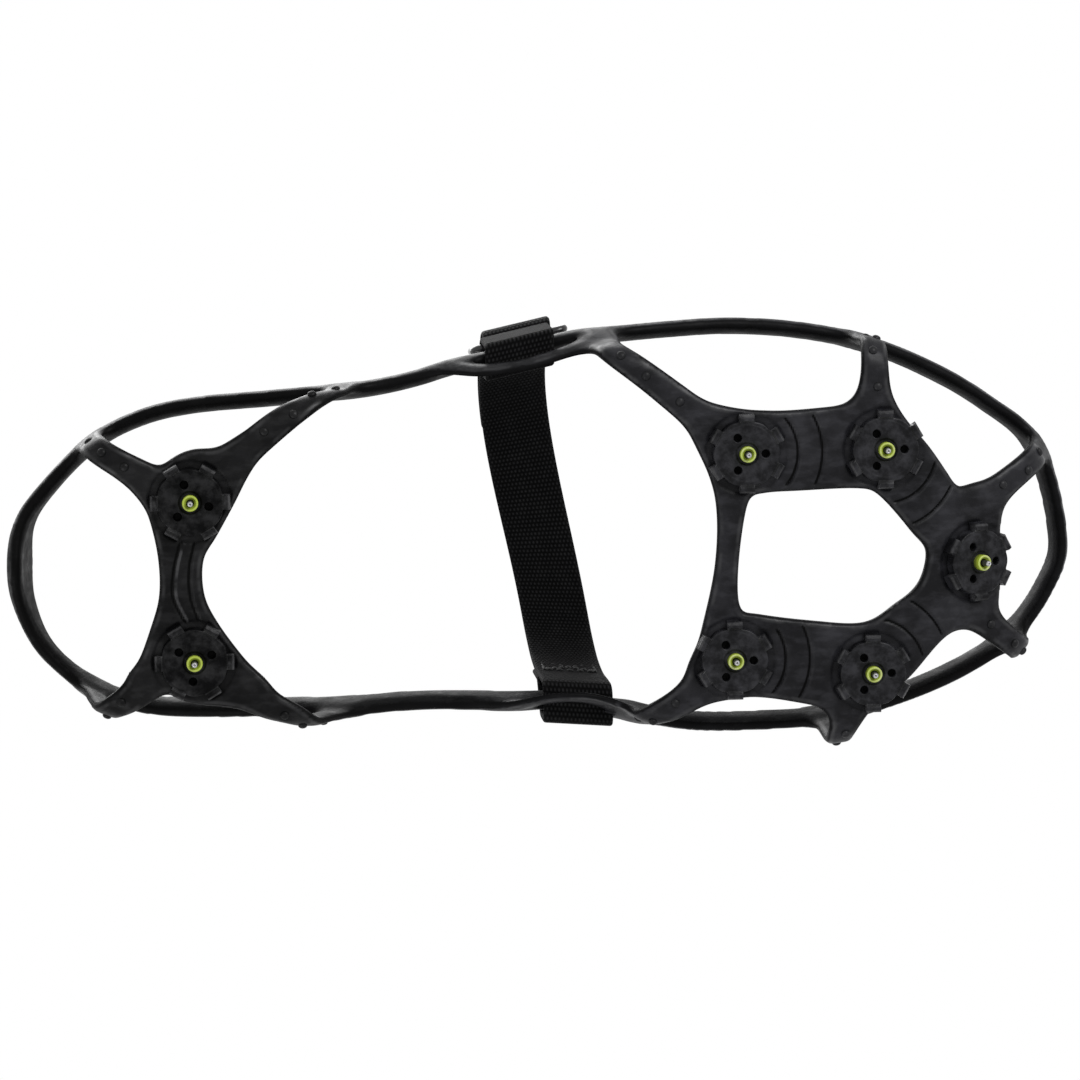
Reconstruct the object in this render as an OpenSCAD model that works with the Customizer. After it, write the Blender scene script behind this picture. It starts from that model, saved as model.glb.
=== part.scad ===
// Slip-on ice cleat for a right shoe, in its worn shape.
// +X points to the toe, +Y to the inner side of the foot, +Z up; the stud tips stand on z = 0.

/* [Rim band] */
// Length of the harness over the rim band
harness_l = 306; // [296:1:318]
// Width over the rim band across the ball of the foot
ball_w = 119; // [113:1:125]
// Width over the rim band at the heel
heel_w = 91; // [86:1:96]
// Width over the side bars at the waist of the foot
waist_w = 101; // [97:1:105]
// Thickness of the rim band
rim_t = 4.5; // [3.8:0.1:5.5]
// Height of the rim band
rim_h = 9; // [8:0.5:11]
// Inward lean of the rim band, in degrees
rim_lean = 10; // [0:1:20]
// Height of the middle of the rim above the ground at the toe
rim_toe_z = 45; // [41:0.5:50]
// Height of the middle of the rim above the ground at the ball of the foot
rim_ball_z = 41; // [38:0.5:45]
// Height of the middle of the rim above the ground at the waist
rim_waist_z = 34; // [32.5:0.5:36]
// Height of the middle of the rim above the ground at the heel
rim_heel_z = 48; // [44:0.5:52]
// Extra height of the pull tab at the back of the heel
pull_tab_h = 13; // [6:0.5:18]

/* [Sole web] */
// Thickness of the rubber web under the sole
web_t = 3.3; // [3:0.1:4.5]
// Width of the bands along the sides of the forefoot
band_w = 23; // [21:0.5:25]
// Width of the slanted bands that run to the toe stud
slant_w = 17.5; // [16:0.5:19]
// Width of the bar behind the forefoot window
rear_bar_w = 6.5; // [5:0.5:9]
// Width of the bar between the two heel studs
heel_bar_w = 12.5; // [10:0.5:15]
// Distance of the first tread groove from its stud
groove_r = 14.5; // [13.5:0.5:15.5]
// Distance between the two tread grooves of a band
groove_pitch = 6.5; // [5:0.5:8]
// Width of a tread groove
groove_w = 1.1; // [0.6:0.1:1.6]
// Depth of a tread groove
groove_d = 0.6; // [0.3:0.1:1]

/* [Toe spring] */
// Where the web starts to rise towards the toe
bend_x = 101; // [100:0.5:102]
// Length between the creases of the rise
bend_step = 5; // [4:0.5:5]
// Whole angle of the rise, in degrees
bend_deg = 24; // [15:1:30]

/* [Arms] */
// Width of an arm on the side of the foot
arm_w = 7.5; // [6.5:0.5:9]
// Width of an arm where it leaves the web
arm_root_w = 10.5; // [9.5:0.5:12.5]
// Thickness of an arm
arm_t = 2.8; // [2.2:0.1:2.9]

/* [Stud places] */
// Place along the foot of the rear pair of forefoot studs
rear_row_x = 52; // [50:0.5:54]
// Distance between the rear pair of forefoot studs
rear_row_span = 58; // [56:0.5:60]
// Place along the foot of the front pair of forefoot studs
front_row_x = 91; // [89.5:0.5:92]
// Distance between the front pair of forefoot studs
front_row_span = 63; // [61:0.5:65]
// Distance along the foot by which the outer studs lead the inner ones
row_skew = 4; // [2:0.5:5]
// Place of the toe stud along the flat web
toe_stud_x = 121; // [120:0.5:122.5]
// Place along the foot of the heel studs
heel_row_x = -100.5; // [-102:0.5:-99]
// Distance between the heel studs
heel_row_span = 44.5; // [43:0.5:46]

/* [Studs] */
// Diameter of a tread pad without its lugs
pad_d = 18; // [17:0.5:19]
// Thickness of a tread pad
pad_h = 2.5; // [2:0.1:3.2]
// Number of lugs round a tread pad
pad_lugs = 6; // [5:1:7]
// Width of a lug
lug_w = 4.4; // [3.5:0.1:5.2]
// How far a lug stands out past the pad
lug_out = 2; // [1.2:0.1:2.4]
// How far a lug stands down from the face of its pad
lug_down = 0.9; // [0.5:0.1:1.3]
// Length of a lug along the radius
lug_l = 2.6; // [2.2:0.1:3.4]
// Diameter of the drain holes in a pad
pad_hole_d = 2.2; // [1.5:0.1:2.8]
// Distance of the drain holes from the stud
pad_hole_r = 5.2; // [4.8:0.1:5.6]
// Diameter of the coloured sleeve
sleeve_d = 4.5; // [4.1:0.1:5]
// How far the sleeve stands out of the pad
sleeve_out = 2; // [1.5:0.1:2.6]
// Diameter of the flange at the top of the sleeve
flange_d = 9; // [7.5:0.5:10]
// Thickness of the flange
flange_t = 0.8; // [0.6:0.1:1]
// Diameter of the carbide pin
pin_d = 1.8; // [1.4:0.1:2.4]
// How far the pin stands out of the sleeve
pin_out = 2.2; // [1.6:0.1:2.8]
// Length of the pin inside the sleeve
pin_in = 5; // [3.5:0.1:5.5]
// Height of the cone at the tip of the pin
pin_tip = 0.5; // [0.3:0.1:0.8]
// Diameter of the backing washer
washer_d = 14; // [12:0.5:16]
// Thickness of the backing washer
washer_t = 0.8; // [0.6:0.1:1]

/* [Instep strap] */
// Width of the webbing
strap_w = 20; // [18:0.5:21]
// Thickness of the webbing
strap_t = 1.6; // [1.2:0.1:1.8]
// Place of the strap along the foot at the outer side
strap_x = -5.5; // [-7:0.5:-4]
// Length by which the inner end of the strap lies nearer to the toe
strap_skew = 13.5; // [11:0.5:15]
// Height of the top of the strap above the ground
strap_top_z = 96; // [90:0.5:104]
// Thickness of the bars of the ring
ring_bar = 2.6; // [2.2:0.1:3]
// Height of the ring between its two bars
ring_rise = 11; // [10:0.5:12]
// Play of the webbing in the ring at each side
ring_play = 1.8; // [1.2:0.1:2.4]
// Length of the closing tab
tab_l = 46; // [40:1:52]
// Length of the hook patch under the tab
hook_l = 34; // [28:1:37]
// Thickness of the hook and of the loop patch
patch_t = 1; // [0.7:0.1:1.2]

/* [Hidden] */
gap = 0.3;
eps = 0.01;
$fn = 48;
rubber = "#26262b";
hard_rubber = "#1d1d21";
lime = "#b4d335";
steel = "#b9bcc0";
carbide = "#55575c";
webbing = "#131315";
gloss = "#0c0c0e";

// Heights from the ground up
pad_z = pin_out + sleeve_out;
web_z = pad_z + pad_h;
seat_z = web_z + web_t;
mid_z = web_z + web_t / 2;

// Studs on the flat web: outer rear, inner rear, outer front, inner front, toe, outer heel, inner heel
stud_names = ["outer_rear", "inner_rear", "outer_front", "inner_front", "toe", "outer_heel", "inner_heel"];
rear_row_y = 5.1;
front_row_y = 7.4;
toe_stud_y = 9.1;
heel_row_y = 7.8;
studs = [
    [rear_row_x + row_skew / 2, rear_row_y - rear_row_span / 2],
    [rear_row_x - row_skew / 2, rear_row_y + rear_row_span / 2],
    [front_row_x + row_skew / 2, front_row_y - front_row_span / 2],
    [front_row_x - row_skew / 2, front_row_y + front_row_span / 2],
    [toe_stud_x, toe_stud_y],
    [heel_row_x, heel_row_y - heel_row_span / 2],
    [heel_row_x, heel_row_y + heel_row_span / 2]
];
pad_turn = [0, 0, 0, 0, 0, 30, 30];
hole_turn = [0, 0, 0, 0, 0, -17, 66];

arm_names = [
    "arm_toe_outer", "arm_ball_outer", "arm_instep_outer", "arm_heel_front_outer", "arm_heel_rear_outer",
    "arm_toe_inner", "arm_ball_inner", "arm_instep_inner", "arm_heel_front_inner", "arm_heel_rear_inner"
];

// Vector and curve helpers

function unit(v) = v / norm(v);
function flat(v) = unit([v[0], v[1], 0]);

// Point of a smooth curve through b and c, a share t of the way, with neighbours a and d
function between(a, b, c, d, t) =
    (2 * b + (c - a) * t + (2 * a - 5 * b + 4 * c - d) * t * t + (3 * b - a - 3 * c + d) * t * t * t) / 2;

function closed_curve(p, steps) = let (n = len(p)) [
    for (i = [0:n - 1], j = [0:steps - 1])
        between(p[(i + n - 1) % n], p[i], p[(i + 1) % n], p[(i + 2) % n], j / steps)
];

function open_curve(p, steps) = let (n = len(p), e = n - 1) concat(
    [for (i = [0:e - 1], j = [0:steps - 1])
        between(p[max(i - 1, 0)], p[i], p[i + 1], p[min(i + 2, e)], j / steps)],
    [p[e]]
);

function along(path, i) = unit(path[min(i + 1, len(path) - 1)] - path[max(i - 1, 0)]);

function side_of(path, i) = let (d = along(path, i)) [-d[1], d[0]];

// Cross-section of a moulded band, w by t, with its corners cut back
function band_section(w, t) = let (c = min(w, t) * 0.28) [
    [w / 2 - c, -t / 2], [w / 2, -t / 2 + c], [w / 2, t / 2 - c], [w / 2 - c, t / 2],
    [c - w / 2, t / 2], [-w / 2, t / 2 - c], [-w / 2, c - t / 2], [c - w / 2, -t / 2]
];

// Solid skin over rings with the same count of points
module skin(rings) {
    n = len(rings);
    m = len(rings[0]);
    sides = [for (i = [0:n - 2], j = [0:m - 1]) each [
        [i * m + j, (i + 1) * m + j, (i + 1) * m + (j + 1) % m],
        [i * m + j, (i + 1) * m + (j + 1) % m, i * m + (j + 1) % m]
    ]];
    first = [for (j = [1:m - 2]) [0, j, j + 1]];
    last = [for (j = [1:m - 2]) [(n - 1) * m, (n - 1) * m + j + 1, (n - 1) * m + j]];
    polyhedron(points = [for (r = rings) each r], faces = concat(sides, first, last), convexity = 6);
}

// Toe spring: the flat web turns up in three creases of its lower face

creases = 3;
fold_deg = bend_deg / creases;
function crease(k) = bend_x + (k - 1) * bend_step;
function strip_of(x) = len([for (k = [1:creases]) if (x > crease(k)) k]);
function turned(p, c) = let (u = p[0] - c, v = p[2] - web_z) [
    c + u * cos(fold_deg) - v * sin(fold_deg), p[1], web_z + u * sin(fold_deg) + v * cos(fold_deg)
];
function folded(p, k) = k == 0 ? p : folded(turned(p, crease(k)), k - 1);
function on_sole(x, y, z) = folded([x, y, z], strip_of(x));

module fold(k) {
    if (k == 0) children();
    else fold(k - 1) translate([crease(k), 0, web_z]) rotate([0, -fold_deg, 0])
        translate([-crease(k), 0, -web_z]) children();
}

module at_stud(k) {
    fold(strip_of(studs[k][0])) translate([studs[k][0], studs[k][1], 0]) rotate(pad_turn[k]) children();
}

// Sole webs

hb = band_w / 2;
hs = slant_w / 2;
// Outlines round the studs are drawn in eighteenths of a pad's diameter
u = pad_d / 18;
function beside(p, q, a, out) = let (d = unit(q - p)) p + d * a + [-d[1], d[0]] * out;

forefoot_edge = closed_curve([
    studs[0] + u * [-13, -4], studs[0] + [-8 * u, -hb], studs[0] + [12 * u, -hb],
    studs[2] + [-9 * u, -hb - u], studs[2] + [0, -hb - 1.5 * u],
    beside(studs[2], studs[4], 5 * u, -hs - 1.5 * u), beside(studs[2], studs[4], 18 * u, -hs - u),
    studs[4] + u * [-5, -21], studs[4] + u * [2, -20], studs[4] + u * [8, -14],
    studs[4] + u * [9, -4], studs[4] + u * [9, 6], studs[4] + u * [7, 12.5], studs[4] + u * [-1, 16],
    beside(studs[3], studs[4], 20 * u, hs - u / 2), beside(studs[3], studs[4], 4 * u, hs),
    studs[3] + [-3 * u, hb - 1.5 * u], studs[3] + [-11 * u, hb - 1.5 * u], studs[1] + [11 * u, hb],
    studs[1] + [-4 * u, hb - 2 * u], studs[1] + u * [-12, 3], studs[1] + u * [-9, -8],
    [rear_row_x - rear_bar_w - u / 3, rear_row_y + 2 * u], studs[0] + u * [-8.5, 13]
], 3);

forefoot_window = closed_curve([
    studs[0] + u * [0.5, 14], studs[0] + [4.5 * u, hb], studs[0] + [15 * u, hb - u / 2],
    studs[2] + [-7 * u, hb - u / 2], beside(studs[2], studs[4], 9.5 * u, hs + 0.7 * u),
    beside(studs[2], studs[4], 24 * u, hs + u / 2), studs[4] + u * [-15.5, -4], studs[4] + u * [-18, 5],
    beside(studs[3], studs[4], 18 * u, -hs - u / 2), studs[3] + [-2 * u, -hb - 2.5 * u],
    studs[3] + [-17 * u, -hb - 3.5 * u], studs[1] + [7 * u, -hb - u], studs[1] + [2 * u, -hb - 3 * u],
    [rear_row_x - u / 3, rear_row_y + 2 * u]
], 3);

heel_bar_x = heel_row_x - 3 * u;
heel_edge = closed_curve([
    studs[5] + u * [-15, -5], studs[5] + u * [-11.5, 4], [heel_bar_x - heel_bar_w / 2, heel_row_y - 7 * u],
    [heel_bar_x - heel_bar_w / 2, heel_row_y + 4 * u], studs[6] + u * [-12, -9], studs[6] + u * [-15.5, 0],
    studs[6] + u * [-18, 4], studs[6] + u * [-14.5, 9], studs[6] + u * [-10, 6.2], studs[6] + u * [-3.5, 11],
    studs[6] + u * [4, 12.6], studs[6] + u * [13, 12.2], studs[6] + u * [19, 11.5], studs[6] + u * [20, 7],
    studs[6] + u * [14, 0], studs[6] + u * [7, -10], [heel_bar_x + heel_bar_w / 2, heel_row_y + 4 * u],
    [heel_bar_x + heel_bar_w / 2, heel_row_y - 6 * u], studs[5] + u * [6.5, 9], studs[5] + u * [13, -3],
    studs[5] + u * [17, -11], studs[5] + u * [15, -15.5], studs[5] + u * [9, -14], studs[5] + u * [2, -14.5],
    studs[5] + u * [-4, -12.5], studs[5] + u * [-9, -8.5], studs[5] + u * [-13.5, -9.5]
], 3);

// Stepped pocket and bore of one stud, through the web
module stud_seat(k) {
    at_stud(k) {
        translate([0, 0, web_z - web_t]) cylinder(d = sleeve_d, h = 3 * web_t);
        translate([0, 0, seat_z - flange_t - washer_t]) cylinder(d = washer_d, h = web_t);
    }
}

// Shallow arc across a band, centred on stud k and facing the angle a
groove_sweep = 70;
module groove(k, r, a) {
    translate([studs[k][0], studs[k][1], web_z]) rotate(a - groove_sweep / 2)
        rotate_extrude(angle = groove_sweep) translate([r, 0])
            square([groove_w, 2 * groove_d], center = true);
}

module band_grooves(k, q) {
    d = studs[q] - studs[k];
    for (i = [0:1]) groove(k, groove_r + i * groove_pitch, atan2(d[1], d[0]));
}

// Side view of the creased plate, as [x, z], from its flat rear to past its tip
// It is thicker than the web by over on both faces
plate_reach = harness_l / 2;
plate_tip = crease(creases) + plate_reach;
function side_view(p) = [p[0], p[2]];
function crease_at(k, up) = let (a = (k - 0.5) * fold_deg)
    side_view(folded([crease(k), 0, web_z], k - 1)) + up / cos(fold_deg / 2) * [-sin(a), cos(a)];
function plate_profile(over) = concat(
    [[bend_x - plate_reach, web_z - over]],
    [for (k = [1:creases]) crease_at(k, -over)],
    [side_view(on_sole(plate_tip, 0, web_z - over)), side_view(on_sole(plate_tip, 0, seat_z + over))],
    [for (k = [creases:-1:1]) crease_at(k, web_t + over)],
    [[bend_x - plate_reach, seat_z + over]]
);
function plan(points) = [for (p = points) let (q = on_sole(p[0], p[1], mid_z)) [q[0], q[1]]];

module forefoot_plate(over) {
    intersection() {
        linear_extrude(harness_l) difference() {
            polygon(plan(forefoot_edge));
            polygon(plan(forefoot_window));
        }
        rotate([90, 0, 0]) translate([0, 0, -harness_l / 2])
            linear_extrude(harness_l) polygon(plate_profile(over));
    }
}

module heel_plate(over) {
    translate([0, 0, web_z - over]) linear_extrude(web_t + 2 * over) polygon(heel_edge);
}

module forefoot_web() {
    color(rubber) difference() {
        forefoot_plate(0);
        for (k = [0:4]) stud_seat(k);
        band_grooves(0, 2);
        band_grooves(1, 3);
    }
}

module heel_web() {
    color(rubber) difference() {
        heel_plate(0);
        for (k = [5:6]) stud_seat(k);
    }
}

// Rim band: one closed loop of stations [x, y, z, height], from the toe round the outer side

nose = harness_l / 2 - rim_t / 2;
heel_short = 1.1;
tail = nose - heel_short;
ball_y = 0;
heel_y = 5;
waist_y = -0.4;
toe_y = 6.8;
back_y = 6.8;
bar_front = 13.5;
bar_front_in = 9.5;
bar_rear = 19;
inner_x = strap_x + strap_skew;
bo = ball_y - ball_w / 2 + rim_t / 2;
bi = ball_y + ball_w / 2 - rim_t / 2;
ho = heel_y - heel_w / 2 + rim_t / 2;
hi = heel_y + heel_w / 2 - rim_t / 2;
wo = waist_y - waist_w / 2 + rim_t / 2;
wi = waist_y + waist_w / 2 - rim_t / 2;
zt = rim_toe_z;
zb = rim_ball_z;
zw = rim_waist_z;
zh = rim_heel_z;
zs = (zb + zw) / 2;

// Share of the way from the strap to the toe or to the back of the heel
function fore(share) = strap_x + (nose - strap_x) * share;
function aft(share) = strap_x - (tail + strap_x) * share;
// Steps across, in hundredths of the width at the ball or the heel
// Steps up, in tenths of the rim's height
bw = ball_w / 100;
hw = heel_w / 100;
rh = rim_h / 10;
rim_stations = [
    [nose, toe_y, zt, rim_h],
    [fore(0.958), toe_y - 22 * bw, zt, rim_h],
    [fore(0.858), bo + 20 * bw, zt - 1.7 * rh, rim_h],
    [fore(0.742), bo + 11 * bw, zt - 2.8 * rh, rim_h],
    [fore(0.62), bo + 4.6 * bw, zb - 0.6 * rh, rim_h],
    [fore(0.5), bo + 1.3 * bw, zb, rim_h],
    [fore(0.377), bo, zb - 0.6 * rh, rim_h],
    [fore(0.261), bo + 0.5 * bw, zs + 1.1 * rh, rim_h],
    [fore(0.158), bo + 1.2 * bw, zw + 1.7 * rh, rim_h],
    [strap_x + bar_front, wo - 5.3 * bw, zw + 1.1 * rh, rim_h],
    [strap_x, wo - 2.4 * bw, zw + 0.6 * rh, rim_h],
    [strap_x - bar_rear, wo + 0.5 * bw, zw, rim_h],
    [aft(0.21), (wo + ho) / 2 - 1.7 * hw, zw - 0.9 * rh, rim_h],
    [aft(0.285), ho - 5 * hw, zw - 1.1 * rh, rim_h],
    [aft(0.35), ho - 3.8 * hw, zw - 0.5 * rh, rim_h],
    [aft(0.5), ho - 1.9 * hw, zw + 2.5 * rh, rim_h],
    [aft(0.651), ho, zw + 6.7 * rh, rim_h],
    [aft(0.754), ho + 3.8 * hw, zh - 7.2 * rh, rim_h],
    [aft(0.848), ho + 11.5 * hw, zh - 5 * rh, rim_h],
    [aft(0.938), ho + 25.3 * hw, zh - 2.8 * rh, rim_h],
    [aft(0.986), back_y - 13.2 * hw, zh, rim_h + pull_tab_h * 0.4],
    [-tail, back_y, zh + 1.1 * rh, rim_h + pull_tab_h],
    [aft(0.99), back_y + 13.2 * hw, zh, rim_h + pull_tab_h * 0.4],
    [aft(0.948), hi - 18.7 * hw, zh - 2.8 * rh, rim_h],
    [aft(0.862), hi - 7.1 * hw, zh - 5 * rh, rim_h],
    [aft(0.761), hi - 1.6 * hw, zh - 7.8 * rh, rim_h],
    [aft(0.644), hi, zw + 6.1 * rh, rim_h],
    [aft(0.5), hi - 0.2 * hw, zw + 2.4 * rh, rim_h],
    [aft(0.36), hi, zw - 0.4 * rh, rim_h],
    [aft(0.285), wi - 0.5 * hw, zw - 1.1 * rh, rim_h],
    [aft(0.2), wi - 0.8 * hw, zw - rh, rim_h],
    [inner_x - bar_rear, wi + 0.2 * bw, zw, rim_h],
    [inner_x, wi + 0.8 * bw, zw + 0.6 * rh, rim_h],
    [inner_x + bar_front_in, wi + 2.3 * bw, zw + 1.1 * rh, rim_h],
    [fore(0.19), bi - 3.8 * bw, zw + 2.2 * rh, rim_h],
    [fore(0.3), bi - 0.8 * bw, zs + 1.1 * rh, rim_h],
    [fore(0.422), bi, zb - 0.6 * rh, rim_h],
    [fore(0.551), bi - 0.8 * bw, zb, rim_h],
    [fore(0.678), bi - 4.6 * bw, zt - 3.3 * rh, rim_h],
    [fore(0.8), bi - 10.5 * bw, zt - 2.2 * rh, rim_h],
    [fore(0.903), bi - 18.5 * bw, zt - 1.1 * rh, rim_h],
    [fore(0.974), bi - 30.3 * bw, zt, rim_h]
];
rim_n = len(rim_stations);
outer_front = 9;
outer_rear = 11;
outer_heel = 13;
inner_heel = 29;
inner_rear = 31;
inner_front = 33;
rim_steps = 3;
rim_curve = closed_curve(rim_stations, rim_steps);

function rim_point(j) = rim_curve[(j + len(rim_curve)) % len(rim_curve)];
function rim_run(j) = let (a = rim_point(j - 1), b = rim_point(j + 1)) flat([b[0] - a[0], b[1] - a[1], 0]);
function rim_out(j) = let (d = rim_run(j)) [d[1], -d[0], 0] * -1;
function rim_up(j) = [0, 0, cos(rim_lean)] - rim_out(j) * sin(rim_lean);
function rim_ring(j) = let (p = rim_point(j)) [
    for (q = band_section(rim_t, p[3])) [p[0], p[1], p[2]] + rim_out(j) * q[0] + rim_up(j) * q[1]
];

// Stretch of the rim from station a to station b
module rim_part(a, b) {
    skin([for (j = [a * rim_steps:b * rim_steps]) rim_ring(j)]);
}

module rim_toe() {
    color(rubber) rim_part(inner_front - rim_n, outer_front);
}

module rim_heel() {
    color(rubber) rim_part(outer_heel, inner_heel);
}

module side_bar_outer() {
    color(rubber) rim_part(outer_front, outer_rear);
}

module side_bar_inner() {
    color(rubber) rim_part(inner_rear, inner_front);
}

module stretch_band_outer() {
    color(rubber) rim_part(outer_rear, outer_heel);
}

module stretch_band_inner() {
    color(rubber) rim_part(inner_heel, inner_rear);
}

// Arms: station of the rim, start on the flat web, and lean of the wall from the rim in to its foot

wall_rise = 5;
run_share = 0.62;
arms = [
    [1, studs[4] + u * [-3.3, -12.4], u * [-4.2, 0.5]],
    [4, studs[2] + u * [-3, -6], u * [-0.3, -0.5]],
    [8, studs[0] + u * [-5, -4], u * [2, 2.3]],
    [14, studs[5] + u * [8, -8], u * [-10, 0.5]],
    [18, studs[5] + u * [-7, -3], u * [2.2, -1.5]],
    [40, studs[4] + u * [-6.8, 9.3], u * [-0.8, 1]],
    [37, studs[3] + u * [-5, 5], u * [0, 1.5]],
    [34, studs[1] + u * [-4, 5], u * [2, -1.5]],
    [28, studs[6] + u * [10, 7], u * [-15, -0.5]],
    [24, studs[6] + u * [-11, 3.5], u * [6, 2]]
];
arm_steps = 4;

// Place along the flat web of a point that lies at x once the toe has turned up
tip_x = on_sole(crease(creases), 0, mid_z)[0];
function flat_x(x) = x <= bend_x ? x : crease(creases) + (x - tip_x) / cos(bend_deg);
function sole_face(x) = let (a = strip_of(x) * fold_deg) [sin(a), 0, -cos(a)];
function rim_middle(j) = let (p = rim_point(j)) [p[0], p[1], p[2]];
function arm_foot(a) = let (p = rim_middle(a[0] * rim_steps)) [flat_x(p[0] + a[2][0]), p[1] + a[2][1]];
function arm_path(a) = let (
    foot = arm_foot(a),
    run = a[1] + (foot - a[1]) * run_share
) open_curve([
    on_sole(a[1][0], a[1][1], mid_z), on_sole(run[0], run[1], mid_z),
    on_sole(foot[0], foot[1], mid_z) + [0, 0, wall_rise], rim_middle(a[0] * rim_steps)
], arm_steps);
function arm_rings(a) = let (
    out = rim_out(a[0] * rim_steps),
    path = arm_path(a),
    down = sole_face(a[1][0]),
    face = open_curve([down, down + out * 0.25, out + down * 0.25, out], arm_steps),
    n = len(path) - 1
) [for (i = [0:n]) let (
    d = along(path, i),
    w = unit(cross(d, face[i])),
    f = cross(d, w),
    size = arm_root_w + (arm_w - arm_root_w) * min(1, i / arm_steps)
) [for (q = band_section(size, arm_t)) path[i] + w * q[0] + f * q[1]]];

// Rim near one arm, as the tool that the arm's end is fitted to
module rim_near(station) {
    skin([for (j = [(station - 1) * rim_steps:(station + 1) * rim_steps]) rim_ring(j)]);
}

// The end on the web is cut by the outline of the web, a little past both its faces
plate_over = 1.2;
module arm(k) {
    color(rubber) difference() {
        skin(arm_rings(arms[k]));
        rim_near(arms[k][0]);
        if (k == 3 || k == 4 || k >= 8) heel_plate(plate_over);
        else forefoot_plate(plate_over);
    }
}

// Stringers: the lower edge of the slot that the strap passes through

stringer_t = 2.4;
stringer_h = 4.4;
slot_drop = 11;

module stringer(k, front, rear, side) {
    pf = rim_point(front * rim_steps);
    pr = rim_point(rear * rim_steps);
    low = zw - slot_drop;
    on_arm = arm_path(arms[k])[2 * arm_steps + 2];
    path = open_curve([
        on_arm, [pf[0] - u, pf[1] - side * 2.8 * u, low + u],
        [(pf[0] + pr[0]) / 2, (pf[1] + pr[1]) / 2 - side * 3 * u, low],
        [pr[0] + 7 * u, pr[1] - side * 1.6 * u, low + 0.4 * u],
        [pr[0] + 3.2 * u, pr[1] + side * 0.7 * u, zw - rim_h / 3]
    ], 3);
    rings = [for (i = [0:len(path) - 1]) let (
        d = along(path, i),
        w = unit(cross(d, [0, side, 0])),
        o = cross(d, w)
    ) [for (q = band_section(stringer_h, stringer_t)) path[i] + w * q[0] + o * q[1]]];
    skin(rings);
}

module stringer_outer() {
    color(rubber) difference() {
        stringer(2, outer_front, outer_rear, -1);
        skin(arm_rings(arms[2]));
        rim_part(outer_front, outer_rear);
    }
}

module stringer_inner() {
    color(rubber) difference() {
        stringer(7, inner_front, inner_rear, 1);
        skin(arm_rings(arms[7]));
        rim_part(inner_rear, inner_front);
    }
}

// Studs

module stud_pad(k) {
    lug_in = pad_d / 2 + lug_out - lug_l;
    color(hard_rubber) at_stud(k) translate([0, 0, pad_z]) difference() {
        union() {
            cylinder(d = pad_d, h = pad_h);
            for (i = [0:pad_lugs - 1]) rotate(30 + i * 360 / pad_lugs)
                translate([lug_in, -lug_w / 2, -lug_down]) cube([lug_l, lug_w, pad_h + lug_down]);
        }
        for (i = [0:pad_lugs - 1]) rotate((i + 0.5) * 360 / pad_lugs + 30)
            translate([pad_d / 2 + lug_out / 2, 0, -pad_h]) cylinder(d = lug_w * 0.7, h = 3 * pad_h);
        for (i = [0:2]) rotate(hole_turn[k] + i * 120)
            translate([pad_hole_r, 0, -pad_h]) cylinder(d = pad_hole_d, h = 3 * pad_h);
        translate([0, 0, -pad_h]) cylinder(d = sleeve_d, h = 3 * pad_h);
    }
}

module stud_sleeve(k) {
    color(lime) at_stud(k) difference() {
        union() {
            translate([0, 0, pin_out]) cylinder(d = sleeve_d, h = seat_z - pin_out);
            translate([0, 0, seat_z - flange_t]) cylinder(d = flange_d, h = flange_t);
        }
        cylinder(d = pin_d, h = pin_out + pin_in);
    }
}

module carbide_pin(k) {
    color(carbide) at_stud(k) {
        cylinder(d1 = pin_d - 2 * pin_tip, d2 = pin_d, h = pin_tip);
        translate([0, 0, pin_tip]) cylinder(d = pin_d, h = pin_out + pin_in - pin_tip);
    }
}

module backing_washer(k) {
    color(steel) at_stud(k) translate([0, 0, seat_z - flange_t - washer_t]) difference() {
        union() {
            cylinder(d = washer_d, h = washer_t);
            translate([0, 0, washer_t - eps]) difference() {
                cylinder(d = washer_d, h = flange_t + eps);
                translate([0, 0, -web_t]) cylinder(d = flange_d, h = 3 * web_t);
            }
        }
        translate([0, 0, -web_t]) cylinder(d = sleeve_d, h = 3 * web_t);
    }
}

// Instep strap, drawn across the foot as [y, z]
// It lies square to each side bar, so it turns on the way across

bar_o = rim_point(10 * rim_steps);
bar_i = rim_point(32 * rim_steps);
function bar_turn(k) = let (
    d = rim_point(k * rim_steps + 1) - rim_point(k * rim_steps - 1)
) atan(d[1] / d[0]);
turn_o = bar_turn(10);
turn_i = bar_turn(32);
// Half of the room that a side bar takes in the loop round it
// Its bow and its rise over the width of the strap are added
function bar_bow(k, turn) = max([for (j = [-rim_steps:rim_steps + 1])
    let (d = rim_point(k * rim_steps + j) - rim_point(k * rim_steps))
        abs(d[0]) < strap_w * 0.65 ? abs(d[1] - d[0] * tan(turn)) : 0]);
function bar_rise(a, b) = let (
    d = rim_point(b * rim_steps) - rim_point(a * rim_steps)
) abs(d[2] / d[0]) * strap_w / 2;
bar_hw = rim_t / 2 + rim_h / 2 * sin(rim_lean) + gap;
outer_hw = bar_hw + bar_bow(10, turn_o);
inner_hw = bar_hw + bar_bow(32, turn_i);
bar_hh = rim_h / 2 + rim_t / 2 * sin(rim_lean) + gap
    + max(bar_rise(outer_front, outer_rear), bar_rise(inner_front, inner_rear));
anchor_neck = 4;
anchor_out = 2.6;
pivot = [bar_o[1] - anchor_out, bar_o[2] + bar_hh + strap_t + ring_bar / 2 + anchor_neck];
ring_top = pivot + [0.8, ring_rise];
ring_slack = 1.6;
turn_r = ring_bar / 2 + ring_slack + strap_t / 2;
leg_x = strap_w / 2 + ring_play + ring_bar / 2;

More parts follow.
